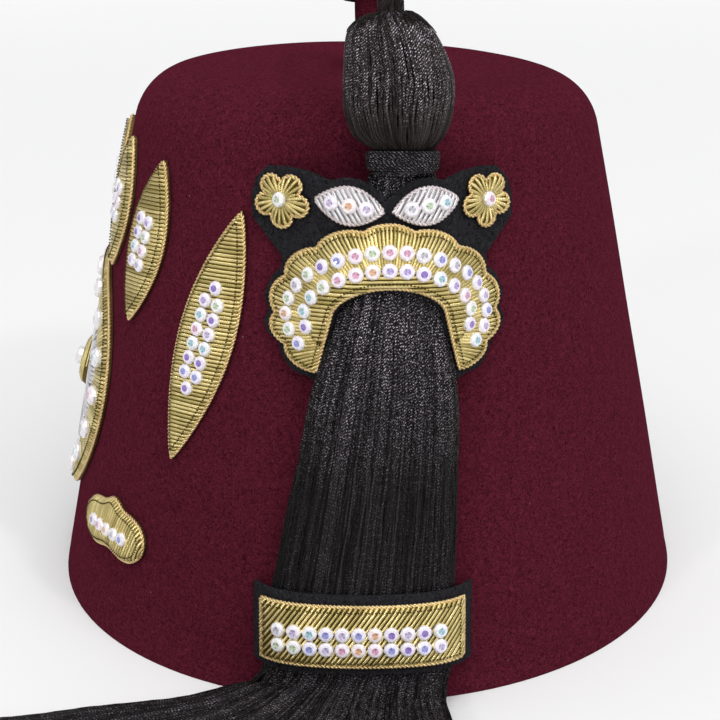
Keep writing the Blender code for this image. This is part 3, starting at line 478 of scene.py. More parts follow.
def leaning(points):
    """Moves points of a plain round crown to their places on this slightly uneven one."""
    x, y, z = points[..., 0], points[..., 1], points[..., 2]
    share = z / CROWN_HEIGHT
    rise = FAR_RISE * np.minimum(0.0, x) ** 2 - TOP_SLOPE * y
    return np.stack([x, y + TOP_SHIFT * share, z + rise * share * abs(share)], axis=-1)


def on_crown(angle, height, lift):
    """Points at angles from +X and heights on the side, and lift out of the felt."""
    angle, height, lift = np.broadcast_arrays(angle, height, lift)
    reach = crown_radius(height) + lift * math.cos(SIDE_SLOPE)
    rise = height + lift * math.sin(SIDE_SLOPE)
    return leaning(np.stack([reach * np.cos(angle), reach * np.sin(angle), rise], axis=-1))


def on_felt(across, _height):
    return np.zeros_like(across)


def holder_arch(across, height):
    """How far the holder stands off the felt, where it bridges the silk."""
    t = (abs(across) - HOLDER_FLAT) / (HOLDER_FOOT - HOLDER_FLAT)
    bridge = (1 + np.cos(math.pi * np.clip(t, 0.0, 1.0))) / 2
    low, share = HOLDER_LOW
    s = np.clip((height - low) / (HOLDER_FULL - low), 0.0, 1.0)
    return HOLDER_RISE * bridge * (share + (1 - share) * s * s * (3 - 2 * s))


def bar_arch(across, _height):
    """How far the bar stands off the felt, where it crosses the silk."""
    return BAR_RISE * np.maximum(0.0, 1 - (abs(across) / BAR_SPAN) ** BAR_FLANK)


def seat(spots, place):
    """Lays spots in u, v and w on the crown."""
    u, v, w = spots[..., 0], spots[..., 1], spots[..., 2]
    cos_tilt, sin_tilt = math.cos(place.tilt), math.sin(place.tilt)
    across = u * cos_tilt - v * sin_tilt
    height = place.height + (u * sin_tilt + v * cos_tilt) * math.cos(SIDE_SLOPE)
    rise = place.arch(across, height)
    angle = place.angle + across / (crown_radius(height) + rise)
    return on_crown(angle, height, w + rise)


def facing(spots, place):
    """Directions square to the laid surface at spots in u, v and w."""
    steps = 0.5 * MM * np.eye(3)[:2]
    run, rise = (seat(spots + step, place) - seat(spots - step, place) for step in steps)
    return unit(np.cross(run, rise))


def smooth_path(places, count):
    """Evenly spaced points on a smooth curve through some places."""
    places = np.asarray(places, float)
    padded = np.vstack([2 * places[0] - places[1], places, 2 * places[-1] - places[-2]])
    t = np.linspace(0, 1, 16, endpoint=False)[:, None]
    fine = []
    for a, b, c, d in zip(padded, padded[1:], padded[2:], padded[3:]):
        bend = (2 * a - 5 * b + 4 * c - d) * t**2 + (3 * b - a - 3 * c + d) * t**3
        fine.append(0.5 * (2 * b + (c - a) * t + bend))
    return evenly(np.vstack([*fine, places[-1:]]), count)


def evenly(line, count):
    """A line's points, spaced again at even lengths."""
    along = lengths(line)
    wanted = np.linspace(0.0, along[-1], count)
    return np.stack([np.interp(wanted, along, line[:, k]) for k in range(line.shape[1])], axis=1)


def closed_evenly(loop, step):
    """A closed loop's points at about one step apart, without the first one again."""
    line = np.vstack([loop, loop[:1]])
    return evenly(line, max(8, round(spans(line).sum() / step)) + 1)[:-1]


def inset(loop, distance):
    """The loop moved inward, which is to the left of its anticlockwise run."""
    loop = np.asarray(loop, float)
    back = loop - np.roll(loop, 1, axis=0)
    ahead = unit(np.roll(back, -1, axis=0))
    back = unit(back)
    normal = unit(np.stack([-back[:, 1] - ahead[:, 1], back[:, 0] + ahead[:, 0]], axis=1))
    spread = np.maximum(SHARPEST, -normal[:, 0] * back[:, 1] + normal[:, 1] * back[:, 0])
    return loop + normal * (distance / spread)[:, None]


def inside(loop, spots):
    """Whether each spot lies inside a loop."""
    found = np.zeros(len(spots), bool)
    x, y = spots[:, 0], spots[:, 1]
    for (ax, ay), (bx, by) in zip(loop, np.roll(loop, -1, axis=0)):
        if ay != by:
            found ^= ((ay > y) != (by > y)) & (x < (bx - ax) * (y - ay) / (by - ay) + ax)
    return found


def edge_distance(loops, spots):
    """How far each spot lies from the nearest edge of any loop."""
    nearest = np.full(len(spots), np.inf)
    for loop in loops:
        for a, b in zip(loop, np.roll(loop, -1, axis=0)):
            run = b - a
            t = np.clip((spots - a) @ run / max(run @ run, 1e-18), 0.0, 1.0)
            nearest = np.minimum(nearest, np.linalg.norm(spots - a - t[:, None] * run, axis=1))
    return nearest


# Outlines, in the plane of their ornament

def shifted(loop, centre, turn=0.0):
    cos_turn, sin_turn = math.cos(turn), math.sin(turn)
    return np.asarray(loop) @ np.array([[cos_turn, sin_turn], [-sin_turn, cos_turn]]) + np.array(centre)


def mirrored(loop):
    """A loop on the other side of the middle line, still anticlockwise."""
    return np.asarray(loop)[::-1] * np.array([-1.0, 1.0])


def lancet(length, width, steps=24):
    """A leaf with a point at each end, standing along v."""
    t = np.linspace(0, 1, steps + 1)
    right = np.stack([width / 2 * np.sin(math.pi * t) ** LEAF_ROUNDNESS, length * (t - 0.5)], axis=1)
    left = right[-2:0:-1] * np.array([-1.0, 1.0])
    return np.vstack([right, left])


def wavy_round(tip, notch, lobes, steps=12):
    """A round outline with petals."""
    turn = turns(lobes * steps)
    radius = notch + (tip - notch) * abs(np.sin(lobes * turn / 2)) ** PETAL_ROUNDNESS
    return oval(radius, radius, turn)


def circle(radius, sides=96):
    return oval(radius, radius, turns(sides))


def rosette_outside(turn):
    """A point of the half rosette's scalloped outer edge."""
    first, last = ROSETTE_SPAN
    wave = abs(math.sin(math.pi * ROSETTE_LOBES * (turn - first) / (last - first)))
    swell, roundness = LOBE_SWELL
    size = 1 - LOBE_DEPTH + LOBE_DEPTH * swell * wave**roundness
    across, up = ROSETTE_HALF
    drop = up if math.sin(turn) > 0 else ROSETTE_DROP
    return across * size * math.cos(turn), drop * size * math.sin(turn)


def half_rosette(steps):
    """The holder's outline: a scalloped arch whose two feet stand beside the silk."""
    first, last = ROSETTE_SPAN
    outside = [rosette_outside(first + (last - first) * i / steps) for i in range(steps + 1)]
    spring, foot = OPENING_HALF
    depth = -outside[0][1] + FOOT_DROP
    curve = []
    for step in range(OPENING_STEPS + 1):
        turn = math.pi * (1 - step / OPENING_STEPS)
        curve.append((spring * math.cos(turn), OPENING_RISE * math.sin(turn)))
    left = [(-foot, -depth), (-(spring + foot) / 2, -depth / 2)]
    right = [(-x, y) for x, y in left[::-1]]
    return np.array(outside + left + curve + right)


def envelope(outlines):
    """The edge a margin outside every outline, as seen from the holder's centre."""
    spots = np.vstack(outlines)
    edge = []
    for step in range(BACKING_STEPS + 1):
        turn = BACKING_START + (math.pi - 2 * BACKING_START) * step / BACKING_STEPS
        ray = np.array([math.cos(turn), math.sin(turn)])
        ahead = spots @ ray
        aside = abs(spots[:, 0] * ray[1] - spots[:, 1] * ray[0])
        cap = np.sqrt(np.maximum(0.0, BACKING_MARGIN**2 - aside**2))
        near = (ahead > 0) & (aside < 1.5 * BACKING_MARGIN)
        edge.append(ray * (ahead + cap)[near].max())
    return edge


def sprig():
    """A pair of leaves with a bud between them."""
    half, height, bud = SPRIG_HALF
    turn = turns(4 * SPRIG_POINTS)
    along = (half - height) * abs(np.cos(turn)) ** 3
    radius = height + along + bud * np.maximum(0.0, np.sin(turn)) ** 5
    return oval(radius, radius, turn)


def arc_stones(across, up, first_degrees):
    """Places of stones in touching order along an upright oval arc over the opening."""
    first = math.radians(first_degrees)
    turn = np.linspace(first, math.pi - first, ARC_POINTS)
    fine = oval(across, np.where(np.sin(turn) > 0, up, up * ROSETTE_DROP / ROSETTE_HALF[1]), turn)
    length = spans(fine).sum()
    count = math.floor(length / STONE_PITCH) + 1
    start = (length - (count - 1) * STONE_PITCH) / 2 / length
    picked = np.round(np.linspace(start, 1 - start, count) * (ARC_POINTS - 1)).astype(int)
    return evenly(fine, ARC_POINTS)[picked]


def stone_row(centre, count, turn=0.0):
    """Places of stones in touching order on a line through a centre."""
    along = (np.arange(count) - (count - 1) / 2) * STONE_PITCH
    return np.array(centre) + np.outer(along, [math.cos(turn), math.sin(turn)])


# Node trees

def add(tree, kind, values=None, **settings):
    """Adds a node, with its settings, and its inputs as values or links."""
    node = tree.nodes.new(kind)
    for name, value in settings.items():
        setattr(node, name, value)
    for name, value in (values or {}).items():
        if isinstance(value, bpy.types.NodeSocket):
            tree.links.new(value, node.inputs[name])
        else:
            node.inputs[name].default_value = value
    return node


def calc(tree, operation, *values):
    """The result of a Math node."""
    return add(tree, "ShaderNodeMath", dict(enumerate(values)), operation=operation).outputs[0]


def times(tree, one, other):
    return calc(tree, "MULTIPLY", one, other)


def new_tree(name, kind, inputs, outputs):
    """A node group with named sockets, and its input and output nodes."""
    tree = bpy.data.node_groups.new(name, kind)
    for label, sort, value in inputs:
        socket = tree.interface.new_socket(label, in_out="INPUT", socket_type=sort)
        if value is not None:
            socket.default_value = value
    for label, sort in outputs:
        tree.interface.new_socket(label, in_out="OUTPUT", socket_type=sort)
    return tree, tree.nodes.new("NodeGroupInput").outputs, tree.nodes.new("NodeGroupOutput").inputs


def shader_group(name, inputs, outputs):
    floats = [(label, "NodeSocketFloat", value) for label, value in inputs]
    return new_tree(name, "ShaderNodeTree", floats, [(label, "NodeSocketFloat") for label in outputs])


def join(sockets, **values):
    """Links values to sockets by their names."""
    for name, value in values.items():
        value.id_data.links.new(value, sockets[name.replace("_", " ")])


def position(tree):
    return add(tree, "ShaderNodeTexCoord").outputs["Object"]


def noise(tree, scale, detail=3.0, rough=0.55, vector=None, distortion=0.0):
    """A noise pattern on Object coordinates, from 0 to 1."""
    values = {"Vector": vector or position(tree), "Scale": scale, "Detail": detail, "Roughness": rough}
    return add(tree, "ShaderNodeTexNoise", {**values, "Distortion": distortion}).outputs["Fac"]


def cells(tree, scale):
    """Cells on Object coordinates: how far a spot is from its cell's middle, and the cell's pick."""
    made = add(tree, "ShaderNodeTexVoronoi", {"Vector": position(tree), "Scale": scale}).outputs
    pick = add(tree, "ShaderNodeSeparateColor", {"Color": made["Color"]}).outputs["Red"]
    return made["Distance"], pick


def attribute(tree, name, output="Fac"):
    return add(tree, "ShaderNodeAttribute", attribute_name=name).outputs[output]


def split(tree, vector):
    return add(tree, "ShaderNodeSeparateXYZ", {0: vector}).outputs


def nap_group():
    """Felt: soft mottling, specks of lint, and the height of its matted fibres."""
    tree, given, made = shader_group("felt_nap", [("Fibre Scale", 1150.0)], ["Mottle", "Lint", "Height"])
    broad, fine = MOTTLE_SCALES
    broad = times(tree, noise(tree, broad, 4.0), MOTTLE_SHARE)
    fine = times(tree, noise(tree, fine, 3.0, 0.7), 1.0 - MOTTLE_SHARE)
    distance, pick = cells(tree, LINT_CELLS)
    speck = calc(tree, "LESS_THAN", distance, LINT_SIZE)
    lint = times(tree, speck, calc(tree, "GREATER_THAN", pick, 1.0 - LINT_SHARE))
    fibres = noise(tree, given["Fibre Scale"], 4.0, 0.7, distortion=1.6)
    join(made, Mottle=calc(tree, "ADD", broad, fine), Lint=lint, Height=fibres)
    return tree


def twist_group():
    """Yarn: two plies that wind along it, with glints painted on their crests and shade painted in their
    grooves, fuller in places.
    """
    inputs = [("Lay", 0.002), ("Faint Twist And Glint Height", 0.0), ("Full Twist And Glint Height", 0.1), ("Least", 0.5)]
    tree, given, made = shader_group("yarn_twist", inputs, ["Height", "Tone", "Glint", "Groove"])
    shade = attribute(tree, "shade")
    x, y, _ = split(tree, attribute(tree, "round", "Vector"))
    double_cos = calc(tree, "SUBTRACT", times(tree, x, x), times(tree, y, y))
    double_sin = times(tree, times(tree, x, y), 2.0)
    lay = times(tree, given["Lay"], calc(tree, "MULTIPLY_ADD", shade, *LAY_SPREAD))
    wound = calc(tree, "DIVIDE", attribute(tree, "run"), lay)
    angle = times(tree, calc(tree, "MULTIPLY_ADD", shade, START_SPREAD, wound), math.tau)
    along = times(tree, double_cos, calc(tree, "COSINE", angle))
    aside = times(tree, double_sin, calc(tree, "SINE", angle))
    wave = calc(tree, "MULTIPLY_ADD", calc(tree, "ADD", along, aside), 0.5, 0.5)
    level = split(tree, position(tree))[2]
    # Painted light: the twist, its painted glints and groove shade are faint low down, full higher up, and
    # come back near the table.
    values = {"Value": level, "From Min": given["Faint Twist And Glint Height"], "From Max": given["Full Twist And Glint Height"]}
    full_twist_and_painted_glint = add(tree, "ShaderNodeMapRange", {**values, "To Min": given["Least"]}).outputs["Result"]
    tail = times(tree, ramp(tree, level, *TAIL_TWIST_AND_GLINT_HEIGHTS), TAIL_TWIST_AND_GLINT_SHARE)
    full_twist_and_painted_glint = calc(tree, "MAXIMUM", full_twist_and_painted_glint, tail)
    distance, pick = cells(tree, GLINT_CELLS)
    specks = times(tree, ramp(tree, distance, *GLINT_EDGE), ramp(tree, pick, *GLINT_PICK))
    dots = times(tree, specks, ramp(tree, shade, *GLINT_SHADES))
    values = {0: position(tree), 1: STREAK_STRETCH}
    long = add(tree, "ShaderNodeVectorMath", values, operation="MULTIPLY").outputs[0]
    streak = ramp(tree, noise(tree, STREAK_SCALE, 2.0, vector=long), *STREAK_RANGE)
    streak = calc(tree, "MULTIPLY_ADD", streak, STREAK_SHARE, 1.0 - STREAK_SHARE)
    crest = times(tree, ramp(tree, wave, *GLINT_CREST), full_twist_and_painted_glint)
    join(
        made,
        Height=times(tree, wave, full_twist_and_painted_glint),
        Tone=times(tree, shade, shade),
        Glint=times(tree, crest, times(tree, dots, streak)),
        Groove=calc(tree, "MAXIMUM", wave, calc(tree, "SUBTRACT", 1.0, full_twist_and_painted_glint)),
    )
    return tree


def coil_group():
    """Bullion: the fine turns of wire along a stitch, the tone of each stitch, and wear."""
    tree, given, made = shader_group("wire_coil", [("Pitch", 0.00032)], ["Height", "Tone", "Patina"])
    angle = times(tree, calc(tree, "DIVIDE", attribute(tree, "run"), given["Pitch"]), math.tau)
    height = calc(tree, "MULTIPLY_ADD", calc(tree, "SINE", angle), 0.5, 0.5)
    patina = noise(tree, PATINA_SCALE, 3.0, 0.6)
    join(made, Height=height, Tone=attribute(tree, "shade"), Patina=patina)
    return tree


def group_node(tree, group, values=None):
    node = add(tree, "ShaderNodeGroup", node_tree=group)
    for name, value in (values or {}).items():
        node.inputs[name].default_value = value
    return node.outputs


def colour_mix(tree, factor, low, high):
    """A colour between two, each an RGB triple or a link."""
    node = add(tree, "ShaderNodeMix", data_type="RGBA")
    for socket, value in ((node.inputs[0], factor), (node.inputs[6], low), (node.inputs[7], high)):
        if isinstance(value, bpy.types.NodeSocket):
            tree.links.new(value, socket)
        else:
            socket.default_value = (*value, 1.0) if isinstance(value, tuple) else value
    return node.outputs[2]


def ramp(tree, factor, low, high):
    """A factor stretched so that low gives 0 and high gives 1."""
    values = {"Value": factor, "From Min": low, "From Max": high}
    return add(tree, "ShaderNodeMapRange", values).outputs["Result"]


def finish(name, **constants):
    """A Principled material with some plain constants on its own sockets."""
    made = bpy.data.materials.new(name)
    made.use_nodes = True
    shader = made.node_tree.nodes["Principled BSDF"]
    for key, value in constants.items():
        shader.inputs[key.replace("_", " ")].default_value = value
    return made, made.node_tree, shader


def bump(tree, shader, height, distance, strength=1.0):
    values = {"Height": height, "Distance": distance, "Strength": strength}
    join(shader.inputs, Normal=add(tree, "ShaderNodeBump", values).outputs["Normal"])


def scaled(colour, size):
    return tuple(size * part for part in colour)


def felt_finish(name, nap, dark, light, lint, sheen, tint):
    """Matted wool in a colour that wanders between two tones, with lighter and darker fibres."""
    made, tree, shader = finish(name, Sheen_Weight=sheen, Sheen_Roughness=0.5, Specular_IOR_Level=0.0)
    shader.inputs["Sheen Tint"].default_value = (*tint, 1.0)
    marks = group_node(tree, nap)
    colour = colour_mix(tree, ramp(tree, marks["Mottle"], *MOTTLE_RANGE), dark, light)
    deep, bright = scaled(dark, FIBRE_TONES[0]), scaled(light, FIBRE_TONES[1])
    fibre = colour_mix(tree, ramp(tree, marks["Height"], *FIBRE_RANGE), deep, bright)
    colour = colour_mix(tree, FIBRE_SHARE, colour, fibre)
    colour = colour_mix(tree, times(tree, marks["Lint"], LINT_STRENGTH), colour, lint)
    join(shader.inputs, Base_Color=colour, Roughness=ramp(tree, marks["Mottle"], *FELT_ROUGHNESS))
    bump(tree, shader, marks["Height"], FIBRE_DEPTH, 0.9)
    return made


def yarn_finish(name, twist, dark, light, painted_glint, lay, roughness, plain, full_twist_and_painted_glint, least):
    """Lustrous twisted yarn, with a painted highlight in its colour where each ply comes round."""
    made, tree, shader = finish(name, Specular_IOR_Level=YARN_SHINE)
    shader.inputs["Specular Tint"].default_value = YARN_TINT
    values = {"Lay": lay * MM, "Faint Twist And Glint Height": plain * MM, "Full Twist And Glint Height": full_twist_and_painted_glint * MM, "Least": least}
    marks = group_node(tree, twist, values)
    colour = colour_mix(tree, marks["Tone"], dark, light)
    # Painted shade: the colour darkens in the grooves between plies.
    colour = colour_mix(tree, ramp(tree, marks["Groove"], *GROOVE_SHADE_RANGE), scaled(dark, GROOVE_PAINTED_SHADE), colour)
    grain = noise(tree, YARN_GRAIN, 2.0)
    rough = calc(tree, "MULTIPLY_ADD", grain, YARN_UNEVEN, roughness - YARN_UNEVEN / 2)
    # The glints are painted highlights, mixed into the base colour.
    join(shader.inputs, Base_Color=colour_mix(tree, marks["Glint"], colour, painted_glint), Roughness=rough)
    bump(tree, shader, marks["Height"], YARN_DEPTH)
    return made


def wire_finish(name, coil, dark, light, patina, roughness, pitch, depth):
    """Bright wire, a little duller and darker in places."""
    made, tree, shader = finish(name, Metallic=1.0)
    marks = group_node(tree, coil, {"Pitch": pitch * MM})
    colour = colour_mix(tree, marks["Tone"], dark, light)
    worn = times(tree, ramp(tree, marks["Patina"], *WEAR_RANGE), WEAR_SHARE)
    wander, below = WEAR_ROUGH
    rough = calc(tree, "MULTIPLY_ADD", marks["Patina"], wander, roughness - below)
    join(shader.inputs, Base_Color=colour_mix(tree, worn, colour, patina), Roughness=rough)
    bump(tree, shader, marks["Height"], depth * MM)
    return made


def stone_finish():
    """Cut stones with a coating that shows colours, in bright cups; their facets are painted lighter and
    darker at random as sparkle.
    """
    made, tree, shader = finish("cut_stone", Coat_Roughness=0.03, Specular_IOR_Level=0.7)
    part, facet_sparkle = attribute(tree, "part"), attribute(tree, "facet_sparkle")
    tint = attribute(tree, "tint", "Color")
    white = colour_mix(tree, facet_sparkle, STONE_PAINTED_DIM_FACET, colour_mix(tree, STONE_TINTED, STONE_PALE, tint))
    middle = calc(tree, "GREATER_THAN", part, 1.5)
    colour = colour_mix(tree, middle, white, colour_mix(tree, facet_sparkle, STONE_PAINTED_DARK_FACET, tint))
    cup = calc(tree, "LESS_THAN", part, 0.5)
    join(
        shader.inputs,
        Base_Color=colour_mix(tree, cup, colour, STONE_CUP),
        Metallic=times(tree, cup, 0.5),
        Roughness=calc(tree, "MULTIPLY_ADD", cup, 0.2, 0.08),
        Coat_Weight=calc(tree, "SUBTRACT", 1.0, cup),
    )
    return made


# Geometry Nodes

def geometry_tree(name, inputs):
    """A Geometry Nodes tree that takes some sizes, and a finish last."""
    inputs = [("Geometry", "NodeSocketGeometry", None), *inputs, ("Finish", "NodeSocketMaterial", None)]
    return new_tree(name, "GeometryNodeTree", inputs, [("Geometry", "NodeSocketGeometry")])


def close_tree(tree, given, made, geometry):
    """Ends a tree with plain geometry in its finish."""
    solid = add(tree, "GeometryNodeRealizeInstances", {"Geometry": geometry}).outputs[0]
    values = {"Geometry": solid, "Material": given["Finish"]}
    join(made, Geometry=add(tree, "GeometryNodeSetMaterial", values).outputs[0])
    return tree


def named(tree, name, kind="FLOAT"):
    return add(tree, "GeometryNodeInputNamedAttribute", {"Name": name}, data_type=kind).outputs[0]


def thread_tree():
    """Sweeps a round section along every line of a mesh."""
    inputs = [("Thickness", "NodeSocketFloat", 1.0 * MM), ("Sides", "NodeSocketInt", 6)]
    tree, given, made = geometry_tree("thread_along_lines", inputs)
    line = add(tree, "GeometryNodeMeshToCurve", {"Mesh": given["Geometry"]}).outputs[0]
    length = add(tree, "GeometryNodeSplineParameter").outputs["Length"]
    values = {"Geometry": line, "Name": "run", "Value": length}
    line = add(tree, "GeometryNodeStoreNamedAttribute", values).outputs[0]
    values = {"Resolution": given["Sides"], "Radius": times(tree, given["Thickness"], 0.5)}
    section = add(tree, "GeometryNodeCurvePrimitiveCircle", values).outputs[0]
    values = {0: add(tree, "GeometryNodeInputPosition").outputs[0]}
    spot = add(tree, "ShaderNodeVectorMath", values, operation="NORMALIZE").outputs[0]
    values = {"Geometry": section, "Name": "round"}
    section = add(tree, "GeometryNodeStoreNamedAttribute", values, data_type="FLOAT_VECTOR")
    value = next(socket for socket in section.inputs if socket.name == "Value" and socket.enabled)
    tree.links.new(spot, value)
    values = {"Curve": line, "Profile Curve": section.outputs[0], "Fill Caps": True}
    swept = add(tree, "GeometryNodeCurveToMesh", {**values, "Scale": named(tree, "girth")}).outputs[0]
    return close_tree(tree, given, made, swept)


def scatter_tree():
    """Sets a small form on every point of a mesh, facing as the point does."""
    tree, given, made = geometry_tree("form_on_points", [("Form", "NodeSocketObject", None)])
    points = add(tree, "GeometryNodeMeshToPoints", {"Mesh": given["Geometry"]}).outputs[0]
    form = add(tree, "GeometryNodeObjectInfo", {"Object": given["Form"]}).outputs["Geometry"]
    away = {"Vector": named(tree, "facing", "FLOAT_VECTOR")}
    turn = add(tree, "FunctionNodeAlignRotationToVector", away, axis="Z").outputs[0]
    spin = {"Axis": (0.0, 0.0, 1.0), "Angle": named(tree, "spin")}
    spin = add(tree, "FunctionNodeAxisAngleToRotation", spin).outputs[0]
    turn = add(tree, "FunctionNodeRotateRotation", {0: turn, 1: spin}, rotation_space="LOCAL").outputs[0]
    values = {"Points": points, "Instance": form, "Rotation": turn, "Scale": named(tree, "size")}
    placed = add(tree, "GeometryNodeInstanceOnPoints", values).outputs[0]
    return close_tree(tree, given, made, placed)


def grown(mesh, tree, values):
    """The plain mesh that a tree makes of a mesh."""
    seed = bpy.data.objects.new("seed", mesh)
    bpy.context.scene.collection.objects.link(seed)
    modifier = seed.modifiers.new(tree.name, "NODES")
    modifier.node_group = tree
    for item in tree.interface.items_tree:
        if item.in_out == "INPUT" and item.name in values:
            modifier[item.identifier] = values[item.name]
    depsgraph = bpy.context.evaluated_depsgraph_get()
    result = bpy.data.meshes.new_from_object(seed.evaluated_get(depsgraph), depsgraph=depsgraph)
    bpy.data.objects.remove(seed)
    return result


def mark(mesh, name, values, kind="FLOAT", domain="POINT"):
    """Stores values on a mesh, one for each of its points or faces."""
    key = {"FLOAT": "value", "FLOAT_VECTOR": "vector", "FLOAT_COLOR": "color"}[kind]
    stored = mesh.attributes.new(name, kind, domain)
    stored.data.foreach_set(key, np.asarray(values, np.float32).ravel())


def line_mesh(lines, girths, shades):
    """A mesh of open lines, each with its girth along it and its shade."""
    mesh = bpy.data.meshes.new("lines")
    counts = [len(line) for line in lines]
    starts = np.concatenate([[0], np.cumsum(counts)])
    edges = [(start + i, start + i + 1) for start, count in zip(starts, counts) for i in range(count - 1)]
    mesh.from_pydata(np.vstack(lines).tolist(), edges, [])
    mark(mesh, "girth", np.concatenate(girths))
    mark(mesh, "shade", np.repeat(shades, counts))
    return mesh


def threads(lines, thickness, sides, material, girths=None, shades=None, seed=1):
    """A mesh of round threads along lines."""
    if girths is None:
        girths = [np.ones(len(line)) for line in lines]
    if shades is None:
        shades = np.random.default_rng(seed).random(len(lines))
    values = {"Thickness": float(thickness), "Sides": sides, "Finish": material}
    return grown(line_mesh(lines, girths, shades), TREES["threads"], values)


def scattered(points, facings, sizes, form, material, seed=1):
    """A mesh of one small form on many points, with a tint and a spin for each."""
    rng = np.random.default_rng(seed)
    count = len(points)
    mesh = bpy.data.meshes.new("points")
    mesh.from_pydata(np.asarray(points).tolist(), [], [])
    mark(mesh, "facing", facings, "FLOAT_VECTOR")
    mark(mesh, "size", np.broadcast_to(sizes, count))
    mark(mesh, "spin", rng.random(count) * math.tau)
    tints = np.array(STONE_TINTS)[rng.integers(0, len(STONE_TINTS), count)]
    mark(mesh, "tint", np.hstack([tints, np.ones((count, 1))]), "FLOAT_COLOR")
    return grown(mesh, TREES["scatter"], {"Form": form, "Finish": material})


# Meshes

def solid_mesh(name, points, faces, material, angle=40.0):
    """A mesh of points and faces, smooth up to an angle."""
    mesh = bpy.data.meshes.new(name)
    mesh.from_pydata(np.asarray(points).tolist(), [], faces)
    form = bmesh.new()
    form.from_mesh(mesh)
    bmesh.ops.remove_doubles(form, verts=form.verts, dist=1e-7)
    bmesh.ops.recalc_face_normals(form, faces=form.faces)
    form.to_mesh(mesh)
    form.free()
    mesh.materials.append(material)
    mesh.shade_smooth()
    mesh.set_sharp_from_angle(angle=math.radians(angle))
    return mesh


def ring_faces(rings, sides, closed=False):
    """Quads between rings of one size; closed joins the last ring to the first."""
    faces = []
    for r in range(rings if closed else rings - 1):
        low, high = r * sides, (r + 1) % rings * sides
        for i in range(sides):
            j = (i + 1) % sides
            faces.append((low + i, low + j, high + j, high + i))
    return faces


def turned_mesh(name, profile, sides, material, change):
    """A mesh turned round +Z from a profile that starts and ends on the axis, then changed."""
    turn = turns(sides)
    radius, height = np.array(profile[1:-1]).T[:, :, None]
    rings = np.broadcast_arrays(radius * np.cos(turn), radius * np.sin(turn), height)
    ends = np.array([[0.0, 0.0, profile[0][1]], [0.0, 0.0, profile[-1][1]]])
    points = change(np.vstack([np.stack(rings, axis=-1).reshape(-1, 3), ends]))
    faces = ring_faces(len(radius), sides)
    start = len(radius) * sides
    for i in range(sides):
        j = (i + 1) % sides
        faces += [(start, j, i), (start + 1, start - sides + i, start - sides + j)]
    return solid_mesh(name, points, faces, material)


def add_piece(name, slot, meshes, *nodes):
    """One piece made of meshes, which rides on the hat and stands for some nodes."""
    form = bmesh.new()
    materials = []
    for mesh in meshes:
        shift = len(materials)
        start = len(form.faces)
        form.from_mesh(mesh)
        form.faces.ensure_lookup_table()
        materials.extend(mesh.materials)
        if shift:
            for face in form.faces[start:]:
                face.material_index += shift
    joined = bpy.data.meshes.new(name)
    form.to_mesh(joined)
    form.free()
    for material in materials:
        joined.materials.append(material)
    piece = bpy.data.objects.new(name, joined)
    bpy.context.scene.collection.objects.link(piece)
    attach(piece, "root")
    if nodes:
        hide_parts(*nodes)
    return piece


# Crown, stem and cord

def crown_profile(depth, edge_steps, side_steps, top_steps):
    """Radius and height of the crown's surface, depth into the felt, from top to rim."""
    level = CROWN_HEIGHT - EDGE_RADIUS
    corner = np.array([crown_radius(level) - EDGE_RADIUS / math.cos(SIDE_SLOPE), level])
    points = [(corner[0] * i / top_steps, CROWN_HEIGHT - depth) for i in range(top_steps)]
    upright = math.radians(90.0)
    for step in range(edge_steps + 1):
        turn = upright + (SIDE_SLOPE - upright) * step / edge_steps
        points.append(tuple(corner + (EDGE_RADIUS - depth) * np.array([math.cos(turn), math.sin(turn)])))
    start = points[-1]
    away = depth / math.cos(SIDE_SLOPE)
    end = (crown_radius(RIM_SOFTENING) - away, RIM_SOFTENING)
    for step in range(1, side_steps + 1):
        t = step / side_steps
        points.append(tuple(start[k] + (end[k] - start[k]) * t for k in range(2)))
    toward_felt = 1.0 if depth else -1.0
    for share in (0.45, 1.0):
        bend = 1 - math.sqrt(1 - (1 - share) ** 2) if share < 1 else 0.0
        radius = crown_radius(0.0) - away + toward_felt * RIM_SOFTENING * (share**2)
        points.append((radius, RIM_SOFTENING * bend))
    return points


def felt_shape(points):
    """The crown's slight unevenness and the line pressed in above its rim."""
    radius = np.hypot(points[:, 0], points[:, 1])
    angle = np.arctan2(points[:, 1], points[:, 0])
    height = points[:, 2]
    wave = sum(
        size * np.sin(bends * angle + climb * height + start)
        for size, bends, climb, start in FELT_WAVES
    )
    near, low = FELT_WAVE_FADE
    away = np.clip(radius / near, 0.0, 1.0) * np.clip(height / low, 0.0, 1.0)
    level, width, depth = CREASE
    crease = depth * np.exp(-(((height - level - CREASE_WANDER * np.sin(2 * angle)) / width) ** 2))
    even, two, five = CREASE_DEPTHS
    crease *= even + two * np.sin(angle * 2.0 + 0.4) + five * np.sin(angle * 5.0)
    change = wave * MM * away * FELT_WAVE_SIZE - np.maximum(crease, 0.0)
    scale = 1 + np.divide(change, radius, out=np.zeros_like(radius), where=radius > 1e-6)
    moved = points.copy()
    moved[:, :2] *= scale[:, None]
    return leaning(moved)


def build_crown():
    outer = crown_profile(0.0, edge_steps=16, side_steps=60, top_steps=8)
    inner = crown_profile(FELT, edge_steps=8, side_steps=30, top_steps=4)
    mesh = turned_mesh("crown", outer + inner[::-1], CROWN_SIDES, FINISHES["burgundy_felt"], felt_shape)
    add_piece("crown_felt", "felt", [mesh], "crown")


def build_stem():
    base = CROWN_HEIGHT + GAP
    rows = [(0.0, 0.0), *smooth_path(STEM_PROFILE[1:-1], STEM_ROWS), (0.0, STEM_PROFILE[-1][1])]
    profile = [(r * MM, base + h * MM) for r, h in rows]

    def place(points):
        return leaning(points) + [0.0, STEM_SHIFT, 0.0]

    mesh = turned_mesh("stem", profile, STEM_SIDES, FINISHES["burgundy_felt"], place)
    add_piece("stem_felt", "felt", [mesh], "stem")


